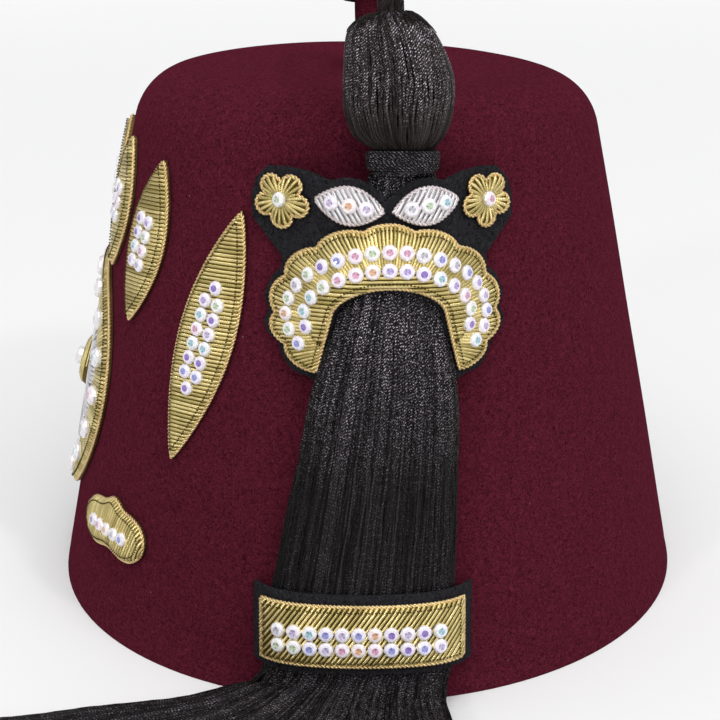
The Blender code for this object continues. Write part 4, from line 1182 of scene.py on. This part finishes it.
def plies(line, count, reach, lay):
    """Lines that wind round a line at a reach from it."""
    along = lengths(line)
    ahead = unit(np.gradient(line, axis=0))
    side = np.cross(ahead[0], (0.3, 0.9, 0.2))
    sides = []
    for direction in ahead:
        side = unit(side - direction * (side @ direction))
        sides.append(side)
    sides = np.array(sides)
    others = np.cross(ahead, sides)
    made = []
    for ply in range(count):
        turn = math.tau * (along / lay + ply / count)
        made.append(line + reach * (np.cos(turn)[:, None] * sides + np.sin(turn)[:, None] * others))
    return made


def build_cord():
    """The thick soft cord of many yarns that loops from the tassel's head round the stem."""
    route = smooth_path(np.array(CORD_ROUTE) * MM, CORD_POINTS)
    lines = plies(route, CORD_YARNS, (CORD_WIDTH - CORD_YARN) / 2, CORD_TWIST)
    yarns = threads(lines, CORD_YARN, 5, FINISHES["cord_silk"], seed=4)
    core = threads([route], CORD_CORE, 12, FINISHES["silk_shade"])
    add_piece("tassel_cord_yarns", "silk", [yarns, core], "tassel_cord")


# Tassel

def tassel_spot(section, across, out, skew=0.0):
    """Points of a section of the tassel, from mm across it, out of it and up."""
    height = (section.height - section.lift * math.sin(SIDE_SLOPE)) * MM
    angle = math.radians(section.angle) + across * MM / crown_radius(height)
    return on_crown(angle, height + skew * MM, (section.lift + out) * MM)


def section_spot(section, a, o):
    """Points in a section of the silk; a runs -1 to 1 across it and o out of it."""
    out = o * np.sqrt(np.maximum(0.0, 1 - a * a)) * section.depth / 2
    return tassel_spot(section, a * section.width / 2, out, section.skew * a)


def front_weight(share):
    """How fully a strand follows the front edge; share runs from -1, front, to 1, back."""
    return ((1 - share) / 2) ** 2


def turn_spot(row, a, o):
    """Points in a section of the silk where it turns onto the table."""
    radius, height, tip, depth, done = row
    sweep, pull = SILK_SWEEP
    weight = front_weight(a) * done
    tip = math.radians(tip)
    out = o * np.sqrt(np.maximum(0.0, 1 - a * a)) * depth / 2
    angle = math.radians(SILK_ANGLE - sweep * weight) + a * SILK_WIDTH / 2 / radius
    reach = radius - pull * weight + out * math.cos(tip)
    spots = [reach * np.cos(angle), reach * np.sin(angle), height + out * math.sin(tip)]
    return np.stack(spots, axis=-1) * MM


def tail_route(a, reaches):
    """Places on the table of a strand at its share a, for rising lengths along it."""
    weight = front_weight(a)
    sweep, pull = SILK_SWEEP
    start = math.radians(SILK_ANGLE - sweep * weight) + a * SILK_WIDTH / 2 / TAIL_START
    front, back = TAIL_HEADINGS
    target = math.radians(front + (back - front) * (a + 1) / 2)
    radius = TAIL_START - pull * weight
    lean = TAIL_LEAN * weight
    turn_length = TAIL_TURN * (1 - TAIL_HURRY * weight)
    x, y, walked = radius * math.cos(start), radius * math.sin(start), 0.0
    places = []
    for reach in reaches:
        while walked < reach - 1e-9:
            step = min(TAIL_STEP, reach - walked)
            t = min(1.0, (walked + step / 2) / turn_length)
            heading = start + (target - start) * (lean + (1 - lean) * t * t * (3 - 2 * t))
            x += math.cos(heading) * step
            y += math.sin(heading) * step
            walked += step
        places.append((x, y))
    return places


def silk_control(a, o, length, count):
    """A strand as a smooth line, from the tassel's neck to its end a length over the table."""
    places = [section_spot(section, a, o) for section in SILK_SECTIONS]
    places += [turn_spot(row, a, o) for row in TURN_SECTIONS]
    share, heaped = TAIL_HEAP
    reaches = [*TAIL_REACHES[:-1], length]
    for reach, (x, y) in zip(reaches, tail_route(a, reaches)):
        depth = float(np.interp(reach, TAIL_REACHES, TAIL_DEPTHS))
        out = o * max(0.0, 1 - a * a) ** (TAIL_FULLNESS / 2) * depth / 2
        heap = 1 + share * front_weight(a) * max(0.0, 1 - reach / heaped)
        places.append(np.array([x, y, (depth / 2 + out) * heap + TAIL_CLEAR]) * MM)
    return smooth_path(places, count)


def tail_length(a):
    """How far the silk reaches on the table at a share, in uneven locks."""
    lock = math.acos(max(-1.0, min(1.0, a))) / math.pi * LOCKS
    return TAIL_REACHES[-1] + LOCK_TIP * (0.5 + 0.5 * math.cos(math.tau * lock)) * LOCK_TRIM


def crinkle(count, length, rng, waves, size):
    """A smooth random wobble along a strand."""
    s = np.linspace(0.0, length, count)
    total = np.zeros(count)
    for wave in waves:
        swing = math.tau * s / (wave * rng.uniform(0.75, 1.3)) + rng.uniform(0, math.tau)
        total += math.sqrt(wave / waves[0]) * np.sin(swing)
    return size * total / len(waves)


def silk_strands(rng, count, spread, size):
    """Strands of the silk as smooth lines, from neck to end."""
    loose, least = SILK_LOOSE
    lines = []
    for index in range(count):
        a = SILK_SPREAD * (2 * (index + rng.uniform(0.1, 0.9)) / count - 1)
        o = rng.uniform(*spread)
        line = silk_control(a, o, tail_length(a) - rng.uniform(0.0, STRAND_SHORTER), SILK_POINTS)
        ahead = unit(np.gradient(line, axis=0))
        aside = unit(np.cross(ahead, line - silk_middle(line)))
        rise = np.cross(aside, ahead)
        total = spans(line).sum() / MM
        grow = np.clip(np.arange(SILK_POINTS) / loose, least, 1.0)[:, None] * MM
        line = line + aside * grow * crinkle(SILK_POINTS, total, rng, SILK_WAVES, size)[:, None]
        lift = np.abs(crinkle(SILK_POINTS, total, rng, SILK_WAVES, size * 0.4))
        line = line + rise * grow * lift[:, None]
        line[:, 2] = np.maximum(line[:, 2], SILK_YARN / 2 + TAIL_CLEAR * MM)
        lines.append(line)
    return lines


def silk_middle(line):
    """A point under each place of a strand, so that the difference points out of the bundle."""
    under = line.copy()
    on_hat = line[:, 2] > SILK_LOW
    under[on_hat] *= np.array([0.5, 0.5, 1.0])
    under[~on_hat, 2] -= 50 * MM
    return under


def build_silk():
    """The hanging silk and its tail on the table: many strands over a core."""
    rng = np.random.default_rng(11)
    girth = np.interp(np.arange(SILK_POINTS), *SILK_GIRTH)
    halves = [("hanging", slice(None, SILK_CUT)), ("on_table", slice(SILK_CUT - 1, None))]
    for layer, count, spread, size in SILK_LAYERS:
        lines = silk_strands(rng, count, spread, size)
        across = np.linspace(-1.0, 1.0, count)
        # Each strand gets a random tone, lowered toward both edges of the bundle as painted shade.
        shades = rng.random(count) * (1 - EDGE_PAINTED_SHADE * across**4)
        for half, cut in halves:
            parts, girths = [line[cut] for line in lines], [girth[cut]] * count
            mesh = threads(parts, SILK_YARN, 5, FINISHES["black_silk"], girths, shades)
            stands_for = ["tassel"] if (half, layer) == ("hanging", "outer") else []
            add_piece(f"silk_{half}_{layer}", "silk", [mesh], *stands_for)
    build_silk_core()


def build_silk_core():
    """The body of the bundle under its outer strands, closed at both ends."""
    turn = turns(CORE_SIDES)
    wide, deep, groove = CORE_SIZE
    a, o = np.clip(wide * np.cos(turn), -wide, wide), np.sign(np.sin(turn)) * deep
    columns = []
    for share, out in zip(a, o):
        grooves = 1 - groove * (math.cos(share * CORE_GROOVES) > 0)
        length = tail_length(share) - CORE_SHORTER
        columns.append(silk_control(share, out * grooves, length, CORE_POINTS))
    rings = np.array(columns).transpose(1, 0, 2)
    faces = ring_faces(CORE_POINTS, CORE_SIDES)
    faces.append(tuple(range(CORE_SIDES)))
    last = (CORE_POINTS - 1) * CORE_SIDES
    for i in range(CORE_SIDES // 2):
        opposite = last + CORE_SIDES - i - 1, last + (CORE_SIDES - i) % CORE_SIDES
        faces.append(tuple(dict.fromkeys((last + i, last + i + 1, *opposite))))
    mesh = solid_mesh("core", rings.reshape(-1, 3), faces, FINISHES["silk_shade"], 60.0)
    add_piece("silk_core", "silk", [mesh])


def head_spot(section, turn, size):
    """Points round a section of the head; turn 90 degrees faces out, and size shrinks it."""
    a, out = np.cos(turn) * size, np.sin(turn) * size * section.depth / 2
    return tassel_spot(section, a * section.width / 2, out, section.skew * a)


def head_strand(turn, size, rng):
    """One strand of the head, from its top over the mound to the neck."""
    line = smooth_path([head_spot(section, turn, size) for section in HEAD_SECTIONS], HEAD_POINTS)
    outward = line - line.mean(axis=0)
    outward[:, 2] = 0.0
    outward /= np.maximum(np.linalg.norm(outward, axis=1, keepdims=True), 1e-6)
    aside = np.cross(outward, (0.0, 0.0, 1.0))
    fade = np.clip(np.arange(HEAD_POINTS) / HEAD_LOOSE, 0.0, 1.0)
    wobble = crinkle(HEAD_POINTS, HEAD_LENGTH, rng, HEAD_WAVES, HEAD_WOBBLE) * fade
    return line + aside * wobble[:, None] * MM


def fuzz_lines(rng):
    """Loose dark hairs that fall from the cord over the top of the head."""
    lines = []
    for _ in range(FUZZ_COUNT):
        turn = rng.uniform(0.0, math.tau)
        spots = []
        for row, section in enumerate(HEAD_SECTIONS[1:7]):
            turn += rng.normal(0.0, FUZZ_STRAY)
            lift = [0.0, 0.0, rng.uniform(*FUZZ_LIFT) * MM]
            spots.append(head_spot(section, turn, FUZZ_SIZE if row > 2 else 1.0) + lift)
        lines.append(smooth_path(spots, FUZZ_POINTS)[: rng.integers(*FUZZ_KEPT)])
    return lines


def build_head():
    """The tassel's head: strands over the mound, on a core, and fuzz round the cord."""
    rng = np.random.default_rng(23)
    lines = []
    for count, size in HEAD_LAYERS:
        for index in range(count):
            lines.append(head_strand(math.tau * (index + rng.uniform(0.3, 0.7)) / count, size, rng))
    girth = np.interp(np.arange(HEAD_POINTS), *HEAD_GIRTH)
    strands = threads(lines, HEAD_YARN, 5, FINISHES["head_silk"], [girth] * len(lines), seed=9)
    fuzz = threads(fuzz_lines(rng), FUZZ_YARN, 4, FINISHES["cord_silk"], seed=10)
    rings = [head_spot(section, turns(CORE_ROUND), HEAD_CORE) for section in HEAD_SECTIONS]
    faces = ring_faces(len(rings), CORE_ROUND)
    for ring in (0, len(rings) - 1):
        faces.append(tuple(range(ring * CORE_ROUND, (ring + 1) * CORE_ROUND)))
    core = solid_mesh("head_core", np.vstack(rings), faces, FINISHES["silk_shade"], 60.0)
    add_piece("tassel_head", "silk", [strands, fuzz, core])


def collar_spot(share, turn, grow):
    """Points round the collar at a share of its height."""
    height, lift, width, depth = (np.interp(share, COLLAR_SHARES, row) for row in zip(*COLLAR_ROWS))
    section = Section(height, lift, COLLAR_ANGLE, width, depth, 0.0)
    return tassel_spot(section, np.cos(turn) * (width / 2 + grow), np.sin(turn) * (depth / 2 + grow))


def build_collar():
    """The fine thread wound round the tassel's neck."""
    thread_sink, band_sink = COLLAR_SINK
    turn = np.linspace(0.0, math.tau * COLLAR_TURNS, COLLAR_STEPS * COLLAR_TURNS)
    start, cover = COLLAR_WOUND
    share = start + cover * turn / turn[-1]
    line = collar_spot(share, turn, -thread_sink)
    winding = threads([line], COLLAR_THREAD, 6, FINISHES["collar_silk"], shades=[0.9])
    around = turns(CORE_ROUND)
    rings = [collar_spot(np.full(CORE_ROUND, share), around, -band_sink) for share in COLLAR_SHARES]
    wide, deep = COLLAR_BORE
    for height, lift, *_ in (COLLAR_ROWS[-1], COLLAR_ROWS[0]):
        section = Section(height, lift, COLLAR_ANGLE, wide, deep, 0.0)
        rings.append(tassel_spot(section, np.cos(around) * wide / 2, np.sin(around) * deep / 2))
    faces = ring_faces(len(rings), CORE_ROUND, closed=True)
    band = solid_mesh("band", np.vstack(rings), faces, FINISHES["silk_shade"], 50.0)
    add_piece("tassel_collar_wound", "silk", [winding, band], "tassel_collar")


# Ornaments

def pad_rise(distance, levels):
    """Height of the padding's surface at a distance from its edge."""
    low, high = levels
    t = np.clip(distance / PAD_SHOULDER, 0.0, 1.0)
    return low + (high - low) * (PAD_EDGE + (1 - PAD_EDGE) * np.sqrt(1 - (1 - t) ** 2))


def pad_mesh(name, loops, place, material, padded=True):
    """A closed patch inside the first loop and outside the others, padded or flat."""
    fine = [closed_evenly(loop, PAD_STEP) for loop in loops]
    low, high = fine[0].min(axis=0), fine[0].max(axis=0)
    us, vs = np.meshgrid(np.arange(low[0], high[0], PAD_GRID), np.arange(low[1], high[1], PAD_GRID))
    spots = np.stack([us.ravel(), vs.ravel()], axis=1)
    keep = inside(fine[0], spots) & (edge_distance(fine, spots) > PAD_ROOM * PAD_GRID)
    for loop in fine[1:]:
        keep &= ~inside(loop, spots)
    corners = [Vector(spot) for spot in np.vstack([*fine, spots[keep]])]
    edges = []
    start = 0
    for loop in fine:
        edges += [(start + i, start + (i + 1) % len(loop)) for i in range(len(loop))]
        start += len(loop)
    places, _, faces, *_ = delaunay_2d_cdt(corners, edges, [], 1, 1e-8)
    flat = np.array([tuple(spot) for spot in places])
    centres = np.array([flat[list(face)].mean(axis=0) for face in faces])
    bad = np.zeros(len(faces), bool)
    for loop in fine[1:]:
        bad |= inside(loop, centres)
    faces = [tuple(face) for face, skip in zip(faces, bad) if not skip]
    distance = edge_distance(fine, flat)
    if padded:
        rise = pad_rise(distance, place.levels)
    else:
        drop, width = FELT_EDGE
        rise = place.levels[1] - drop * np.clip(1 - distance / width, 0.0, 1.0)
    top = np.column_stack([flat, rise])
    bottom = np.column_stack([flat, np.full(len(flat), place.levels[0])])
    shift = len(flat)
    sides = dict.fromkeys(edge for face in faces for edge in zip(face, face[1:] + face[:1]))
    all_faces = faces + [tuple(shift + i for i in face[::-1]) for face in faces]
    all_faces += [(b, a, shift + a, shift + b) for a, b in sides if (b, a) not in sides]
    return solid_mesh(name, seat(np.vstack([top, bottom]), place), all_faces, material, 50.0)


def clipped(loops, origin, ray):
    """Stretches of a line that lie inside the first loop and outside the others."""
    hits = []
    for loop in loops:
        a, b = loop, np.roll(loop, -1, axis=0)
        run = b - a
        cross = ray[0] * run[:, 1] - ray[1] * run[:, 0]
        gap = a - origin
        with np.errstate(divide="ignore", invalid="ignore"):
            t = (gap[:, 0] * run[:, 1] - gap[:, 1] * run[:, 0]) / cross
            s = (gap[:, 0] * ray[1] - gap[:, 1] * ray[0]) / cross
        good = (abs(cross) > 1e-15) & (s >= 0) & (s < 1)
        hits.extend(t[good])
    hits.sort()
    return [(first, last) for first, last in zip(hits[::2], hits[1::2])]


def slanted_rays(loops, degrees, keep=None):
    """Parallel lines a stitch apart over an outline, and the zone they keep to."""
    turn = math.radians(degrees)
    ray = np.array([math.cos(turn), math.sin(turn)])
    normal = np.array([-ray[1], ray[0]])
    offsets = loops[0] @ normal
    first = math.ceil(offsets.min() / PURL_PITCH)
    last = math.floor(offsets.max() / PURL_PITCH)
    return [(normal * (i * PURL_PITCH), ray, -np.inf, keep) for i in range(first, last + 1)]


def radial_rays(radius, centre=(0.0, 0.0), start=0.0, keep=None):
    """Lines from a centre that are a stitch apart at a radius, and the zone they keep to."""
    count = round(math.tau * radius / PURL_PITCH)
    turn = [math.tau * (i + 0.5) / count for i in range(count)]
    return [(np.array(centre), np.array([math.cos(t), math.sin(t)]), start, keep) for t in turn]


def runs_kept(first, last, origin, ray, keep):
    """The unbroken runs of a stretch of a line that a zone keeps."""
    along = np.linspace(first, last, max(2, math.ceil((last - first) / ZONE_STEP)))
    marks = np.concatenate([[False], keep(origin + along[:, None] * ray), [False]])
    ends = np.flatnonzero(np.diff(marks.astype(int)))
    return [(along[a], along[b - 1]) for a, b in zip(ends[::2], ends[1::2])]


def stitch_lines(loops, rays, place):
    """Bullion stitches over the padding, as lines on the hat."""
    runs = []
    for origin, ray, start, keep in rays:
        for first, last in clipped(loops, origin, ray):
            first, last = max(first, start) + STITCH_MARGIN, last - STITCH_MARGIN
            if last > first:
                kept = runs_kept(first, last, origin, ray, keep) if keep else [(first, last)]
                runs += [(a, b, origin, ray) for a, b in kept if b - a > SHORTEST_STITCH]
    lines = []
    for first, last, origin, ray in runs:
        count = max(4, math.ceil((last - first) / STITCH_STEP) + 1)
        spots = origin + np.linspace(first, last, count)[:, None] * ray
        rise = pad_rise(edge_distance(loops, spots), place.levels) + STITCH_LIFT
        rise[[0, -1]] -= STITCH_DIVE
        lines.append(seat(np.column_stack([spots, rise]), place))
    return lines


def rope_lines(loop, place):
    """Two plies of the twisted cord round an outline."""
    line = closed_evenly(inset(closed_evenly(loop, ROPE_GUIDE), ROPE_INSET), ROPE_STEP)
    count = len(line)
    wound = max(4, round(count * ROPE_STEP / ROPE_LAY))
    ahead = unit(np.roll(line, -1, axis=0) - np.roll(line, 1, axis=0))
    side = np.stack([-ahead[:, 1], ahead[:, 0]], axis=1)
    made = []
    for ply in range(2):
        turn = math.tau * wound * np.arange(count) / count + math.pi * ply
        spots = line + side * (ROPE_REACH * np.cos(turn))[:, None]
        rise = place.levels[0] + ROPE_LIFT + ROPE_REACH * np.sin(turn)
        spots = np.column_stack([spots, rise])
        made.append(seat(np.vstack([spots, spots[:1]]), place))
    return made


def chip_spots(loop, place):
    """The dotted line of short purl chips just inside an edge."""
    line = closed_evenly(inset(closed_evenly(loop, CHIP_GUIDE), CHIP_INSET), CHIP_PITCH)
    line = line[edge_distance([loop], line) > CHIP_ROOM * CHIP_INSET]
    rise = pad_rise(np.full(len(line), CHIP_INSET), place.levels) + CHIP_LIFT
    return np.column_stack([line, rise])


def build_patch(name, metal, loops, place, rays, stones=None, stone_radius=STONE_RADIUS, chips=True):
    """One embroidered piece: padding, stitches, twisted edge, chips and stones."""
    loops = [np.asarray(loop, float) for loop in loops]
    seed = sum(map(ord, name))
    stitches = stitch_lines(loops, rays, place)
    edges = [line for loop in loops for line in rope_lines(loop, place)]
    meshes = [
        # The padding's finish is darkened as painted shade for the gaps between stitches.
        pad_mesh(name, loops, place, FINISHES[f"{metal}_padding"]),
        threads(stitches, PURL, 6, FINISHES[f"{metal}_purl"], seed=seed),
        threads(edges, ROPE_PLY, 5, FINISHES[f"{metal}_rope"], seed=seed + 1),
    ]

    def laid(spots, size, form, material, draw):
        return scattered(seat(spots, place), facing(spots, place), size, FORMS[form], material, draw)

    if chips:
        spots = chip_spots(loops[0], place)
        meshes.append(laid(spots, CHIP_RADIUS, "chip", FINISHES[f"{metal}_chip"], seed))
    add_piece(f"{name}_embroidery", metal, meshes, name)
    if stones is not None:
        rise = pad_rise(edge_distance(loops, np.asarray(stones)), place.levels) + STONE_LIFT
        spots = np.column_stack([stones, rise])
        mesh = laid(spots, stone_radius, "stone", FINISHES["cut_stone"], seed + 2)
        add_piece(f"{name}_stones", "stone", [mesh])


def build_backing(name, outline, spot, arch):
    """The black felt under an ornament that bridges the silk, and the place on top of it."""
    place = Place(*spot, arch, BACKING_LEVELS)
    felt = pad_mesh("backing", [outline], place, FINISHES["black_felt"], padded=False)
    add_piece(f"{name}_backing_felt", "backing", [felt], f"{name}_backing")
    return place._replace(levels=ON_BACKING)


def build_holder():
    """The half rosette over the tassel, with its felt, silver leaves and flowers."""
    coarse, rosette = half_rosette(ROSETTE_LOBES * 3), half_rosette(ROSETTE_LOBES * 12)
    leaf = shifted(lancet(*SPRAY_LEAF), SPRAY_CENTRE, SPRAY_TILT)
    bloom = shifted(wavy_round(FLOWER_RADIUS, FLOWER_NOTCH, FLOWER_PETALS), FLOWER_CENTRE, FLOWER_TURN)
    outside = envelope([coarse, leaf, mirrored(leaf), bloom, mirrored(bloom)])
    opening = inset(coarse, -OPENING_MARGIN)[ROSETTE_LOBES * 3 + 1 :]
    place = build_backing("holder", np.vstack([outside, opening]), HOLDER_SPOT, holder_arch)

    stones = np.vstack([arc_stones(*row) for row in STONE_ROWS])
    across, up, _ = STONE_ROWS[1]

    def outer_zone(spots):
        return (spots[:, 0] / across) ** 2 + (spots[:, 1] / up) ** 2 > 1.0

    def inner_zone(spots):
        return ~outer_zone(spots)

    rays = radial_rays(SUN_STITCH, SUN_CENTRE, keep=outer_zone) + slanted_rays([rosette], 0.0, inner_zone)
    build_patch("holder_rosette", "gold", [rosette], place, rays, stones)
    spray = stone_row(SPRAY_CENTRE, SPRAY_STONES, SPRAY_TILT + math.pi / 2)
    reach, start = FLOWER_STITCH
    for name, side in (("back", 1), ("front", -1)):
        flip = np.array([side, 1.0])
        outline, petals = (leaf, bloom) if side > 0 else (mirrored(leaf), mirrored(bloom))
        rays = slanted_rays([outline], side * SPRAY_SLANT)
        build_patch(f"silver_leaf_{name}", "silver", [outline], place, rays, spray * flip, chips=False)
        centre = np.array(FLOWER_CENTRE) * flip
        rays = radial_rays(reach, centre, start)
        build_patch(f"flower_{name}", "gold", [petals], place, rays, [centre], chips=False)


def rectangle(width, height):
    return np.array([(-width, -height), (width, -height), (width, height), (-width, height)]) / 2


def build_bar():
    """The straight bar across the silk near the rim, and its felt."""
    width, height = BAR_SIZE
    beside, above = BAR_MARGINS
    outline = rectangle(width + 2 * beside, height + 2 * above)
    place = build_backing("bar", outline, BAR_SPOT, bar_arch)
    plaque = rectangle(width, height)
    shift_u, shift_v = BAR_STONE_SHIFT
    stones = np.vstack([stone_row((shift_u, shift_v + row * STONE_PITCH), BAR_STONES) for row in (-0.5, 0.5)])
    build_patch("bar", "gold", [plaque], place, slanted_rays([plaque], BAR_SLANT), stones)


def build_leaf(name, leaf, side):
    """One leaf of the fan, on its side of the front."""
    outline = lancet(leaf.length * MM, leaf.width * MM)
    middle = (len(leaf.rows) - 1) / 2
    stones = [stone_row((0.0, (i - middle) * STONE_PITCH), int(count)) for i, count in enumerate(leaf.rows)]
    turn = FRONT + side * math.radians(leaf.turn)
    place = Place(turn, leaf.height * MM, -side * math.radians(leaf.tilt), on_felt, ON_FELT)
    build_patch(name, "gold", [outline], place, slanted_rays([outline], side * LEAF_SLANT), np.vstack(stones))


def build_leaves():
    """Seven leaves that fan out over the front."""
    build_leaf("leaf_front", LEAVES[0], 1)
    for number, leaf in enumerate(LEAVES[1:], start=1):
        build_leaf(f"leaf_left_{number}", leaf, 1)
        build_leaf(f"leaf_right_{number}", leaf, -1)


def build_medallion():
    """The round medallion: a stone-set ring, silver petals, a boss and its stone."""
    place = Place(FRONT, MEDALLION_HEIGHT, 0.0, on_felt, ON_FELT)
    outer, inner = RING_RADII
    ring = (outer + inner) / 2
    loops = [circle(outer), circle(inner)[::-1]]
    stones = circle(ring, RING_STONES)
    build_patch("medallion_ring", "gold", loops, place, radial_rays(ring), stones, RING_STONE_RADIUS)
    tip, notch, hole = PETAL_RADII
    loops = [wavy_round(tip, notch, PETALS), circle(hole, 60)[::-1]]
    build_patch("medallion_petals", "silver", loops, place, radial_rays((tip + hole) / 2), chips=False)

    middle = on_crown(FRONT, MEDALLION_HEIGHT, 0.0)
    outward = Vector(on_crown(FRONT, MEDALLION_HEIGHT, 1.0) - middle).normalized()
    turn = outward.to_track_quat("Z", "Y").to_matrix()

    def stood(points, lift=BOSS_LIFT):
        return middle + np.array(outward) * lift + points @ np.array(turn).T

    profile = [(r * MM, h * MM) for r, h in BOSS_PROFILE]
    # The boss wears the padding's finish, darkened as painted shade between the coil's turns.
    boss = turned_mesh("boss", profile, BOSS_SIDES, FINISHES["gold_padding"], stood)
    winding = np.linspace(0, math.tau * COIL_TURNS, COIL_POINTS)
    radius = np.interp(winding, [0, winding[-1]], COIL_RADII) * MM
    height = np.interp(radius / MM, *zip(*BOSS_PROFILE[-2:1:-1])) * MM
    coil = stood(np.column_stack([oval(radius, radius, winding), height]))
    meshes = [boss, threads([coil], COIL_THREAD, 6, FINISHES["gold_purl"])]
    add_piece("medallion_boss_coil", "gold", meshes, "medallion_boss")
    spot = stood(np.zeros(3), BOSS_LIFT + profile[-1][1] + GAP)
    mesh = scattered([spot], [np.array(outward)], CENTRE_STONE, FORMS["stone"], FINISHES["cut_stone"], 2)
    add_piece("medallion_centre_stone", "stone", [mesh], "medallion_stone")


def build_sprigs():
    """The two small sprigs at the foot of the front."""
    outline = sprig()
    for name, side in (("sprig_left", 1), ("sprig_right", -1)):
        place = Place(FRONT + side * math.radians(SPRIG_TURN), SPRIG_HEIGHT, 0.0, on_felt, ON_FELT)
        rays = slanted_rays([outline], side * SPRIG_SLANT)
        build_patch(name, "gold", [outline], place, rays, stone_row((0.0, 0.0), SPRIG_STONES))


# Small forms that repeat

def hidden_form(name, points, faces, faces_part, faces_sparkle):
    """A small form of unit size, kept out of the scene, with a part and a tone for each face; on a stone the
    tones are painted sparkle.
    """
    mesh = bpy.data.meshes.new(name)
    mesh.from_pydata(points, [], faces)
    mark(mesh, "part", faces_part, domain="FACE")
    mark(mesh, "facet_sparkle", faces_sparkle, domain="FACE")
    return bpy.data.objects.new(name, mesh)


def stone_form():
    """A cut stone in its cup: a wall, a rim, two rows of crown facets and a sunk centre."""
    points = []
    for radius, height, shift in STONE_RINGS:
        for i in range(STONE_SIDES):
            turn = math.tau * (i + shift) / STONE_SIDES
            points.append((radius * math.cos(turn), radius * math.sin(turn), height))
    middle, under = len(points), len(points) + 1
    points += [(0.0, 0.0, STONE_SINK), (0.0, 0.0, 0.0)]
    faces, parts = [], []
    for i in range(STONE_SIDES):
        foot, wall, rim, girdle, table = (row * STONE_SIDES + i for row in range(5))
        on = (i + 1) % STONE_SIDES - i
        faces += [(foot, foot + on, wall + on, wall), (wall, wall + on, rim + on, rim)]
        faces += [(rim, rim + on, girdle), (rim + on, girdle + on, girdle)]
        faces += [(girdle, girdle + on, table + on), (girdle, table + on, table)]
        faces += [(table, table + on, middle), (foot + on, foot, under)]
        parts += [0.0, 0.0, 1.0, 1.0, 1.0, 1.0, 2.0, 0.0]
    rng = np.random.default_rng(7)
    # Each facet of the slope and centre gets a random tone, painted sparkle; the cup's faces stay even.
    tones = [rng.uniform(0.25, 1.0) if part else 0.5 for part in parts]
    return hidden_form("stone_form", points, faces, parts, tones)


def chip_form():
    """A short chip of purl."""
    form = bmesh.new()
    bmesh.ops.create_icosphere(form, subdivisions=1, radius=1.0)
    points = [tuple(vert.co) for vert in form.verts]
    faces = [tuple(vert.index for vert in face.verts) for face in form.faces]
    form.free()
    return hidden_form("chip_form", points, faces, [0.0] * len(faces), [0.5] * len(faces))


# Stage

def new_lamp(name, kind, spot, aim, power):
    lamp = bpy.data.objects.new(name, bpy.data.lights.new(name, kind))
    lamp.data.energy = power
    lamp.location = spot
    lamp.rotation_euler = (Vector(aim) - Vector(spot)).to_track_quat("-Z", "Y").to_euler()
    bpy.context.scene.collection.objects.link(lamp)
    return lamp.data


def build_stage():
    """A pale floor, painted darker near the hat as shade, and soft studio light."""
    mesh = bpy.data.meshes.new("floor")
    corners = [(x * FLOOR_HALF, y * FLOOR_HALF, 0.0) for x, y in ((-1, -1), (1, -1), (1, 1), (-1, 1))]
    mesh.from_pydata(corners, [], [(0, 1, 2, 3)])
    made, tree, shader = finish("pale_floor", Roughness=0.9, Specular_IOR_Level=0.1)
    away = add(tree, "ShaderNodeVectorMath", {0: position(tree)}, operation="LENGTH").outputs["Value"]
    # Painted shade: the floor's colour is darker near the hat.
    join(shader.inputs, Base_Color=colour_mix(tree, ramp(tree, away, *FLOOR_PAINTED_SHADE_REACH), *FLOOR_TONES_WITH_PAINTED_SHADE))
    mesh.materials.append(made)
    floor = bpy.data.objects.new("floor", mesh)
    bpy.context.scene.collection.objects.link(floor)
    world = bpy.data.worlds.new("studio")
    world.use_nodes = True
    tree = world.node_tree
    height = split(tree, add(tree, "ShaderNodeTexCoord").outputs["Generated"])[2]
    light = colour_mix(tree, ramp(tree, height, 0.0, 0.9), STUDIO_WALL, STUDIO_CEILING)
    seen = add(tree, "ShaderNodeLightPath").outputs["Is Camera Ray"]
    join(tree.nodes["Background"].inputs, Color=colour_mix(tree, seen, light, STUDIO_BACKDROP))
    bpy.context.scene.world = world
    spot, breadth, strength = SKY_PANEL
    new_lamp("sky_panel", "SUN", spot, (0.0, 0.0, 0.0), strength).angle = breadth
    for name, spot, aim, width, power in STUDIO_LAMPS:
        new_lamp(name, "AREA", spot, aim, power).size = width
    bpy.context.scene.view_settings.view_transform = "Standard"


build_camera()
NAP, TWIST, COIL = nap_group(), twist_group(), coil_group()
TREES = {"threads": thread_tree(), "scatter": scatter_tree()}
FINISHES = {name: felt_finish(name, NAP, *row) for name, row in FELTS.items()}
FINISHES.update((name, yarn_finish(name, TWIST, *row)) for name, row in YARNS.items())
FINISHES.update((name, wire_finish(name, COIL, *row)) for name, row in WIRES.items())
FINISHES["cut_stone"] = stone_finish()
FORMS = {"stone": stone_form(), "chip": chip_form()}

build_crown()
build_stem()
build_cord()
build_head()
build_collar()
build_silk()
build_holder()
build_bar()
build_leaves()
build_medallion()
build_sprigs()
build_stage()

for left_over in FORMS.values():
    bpy.data.objects.remove(left_over)
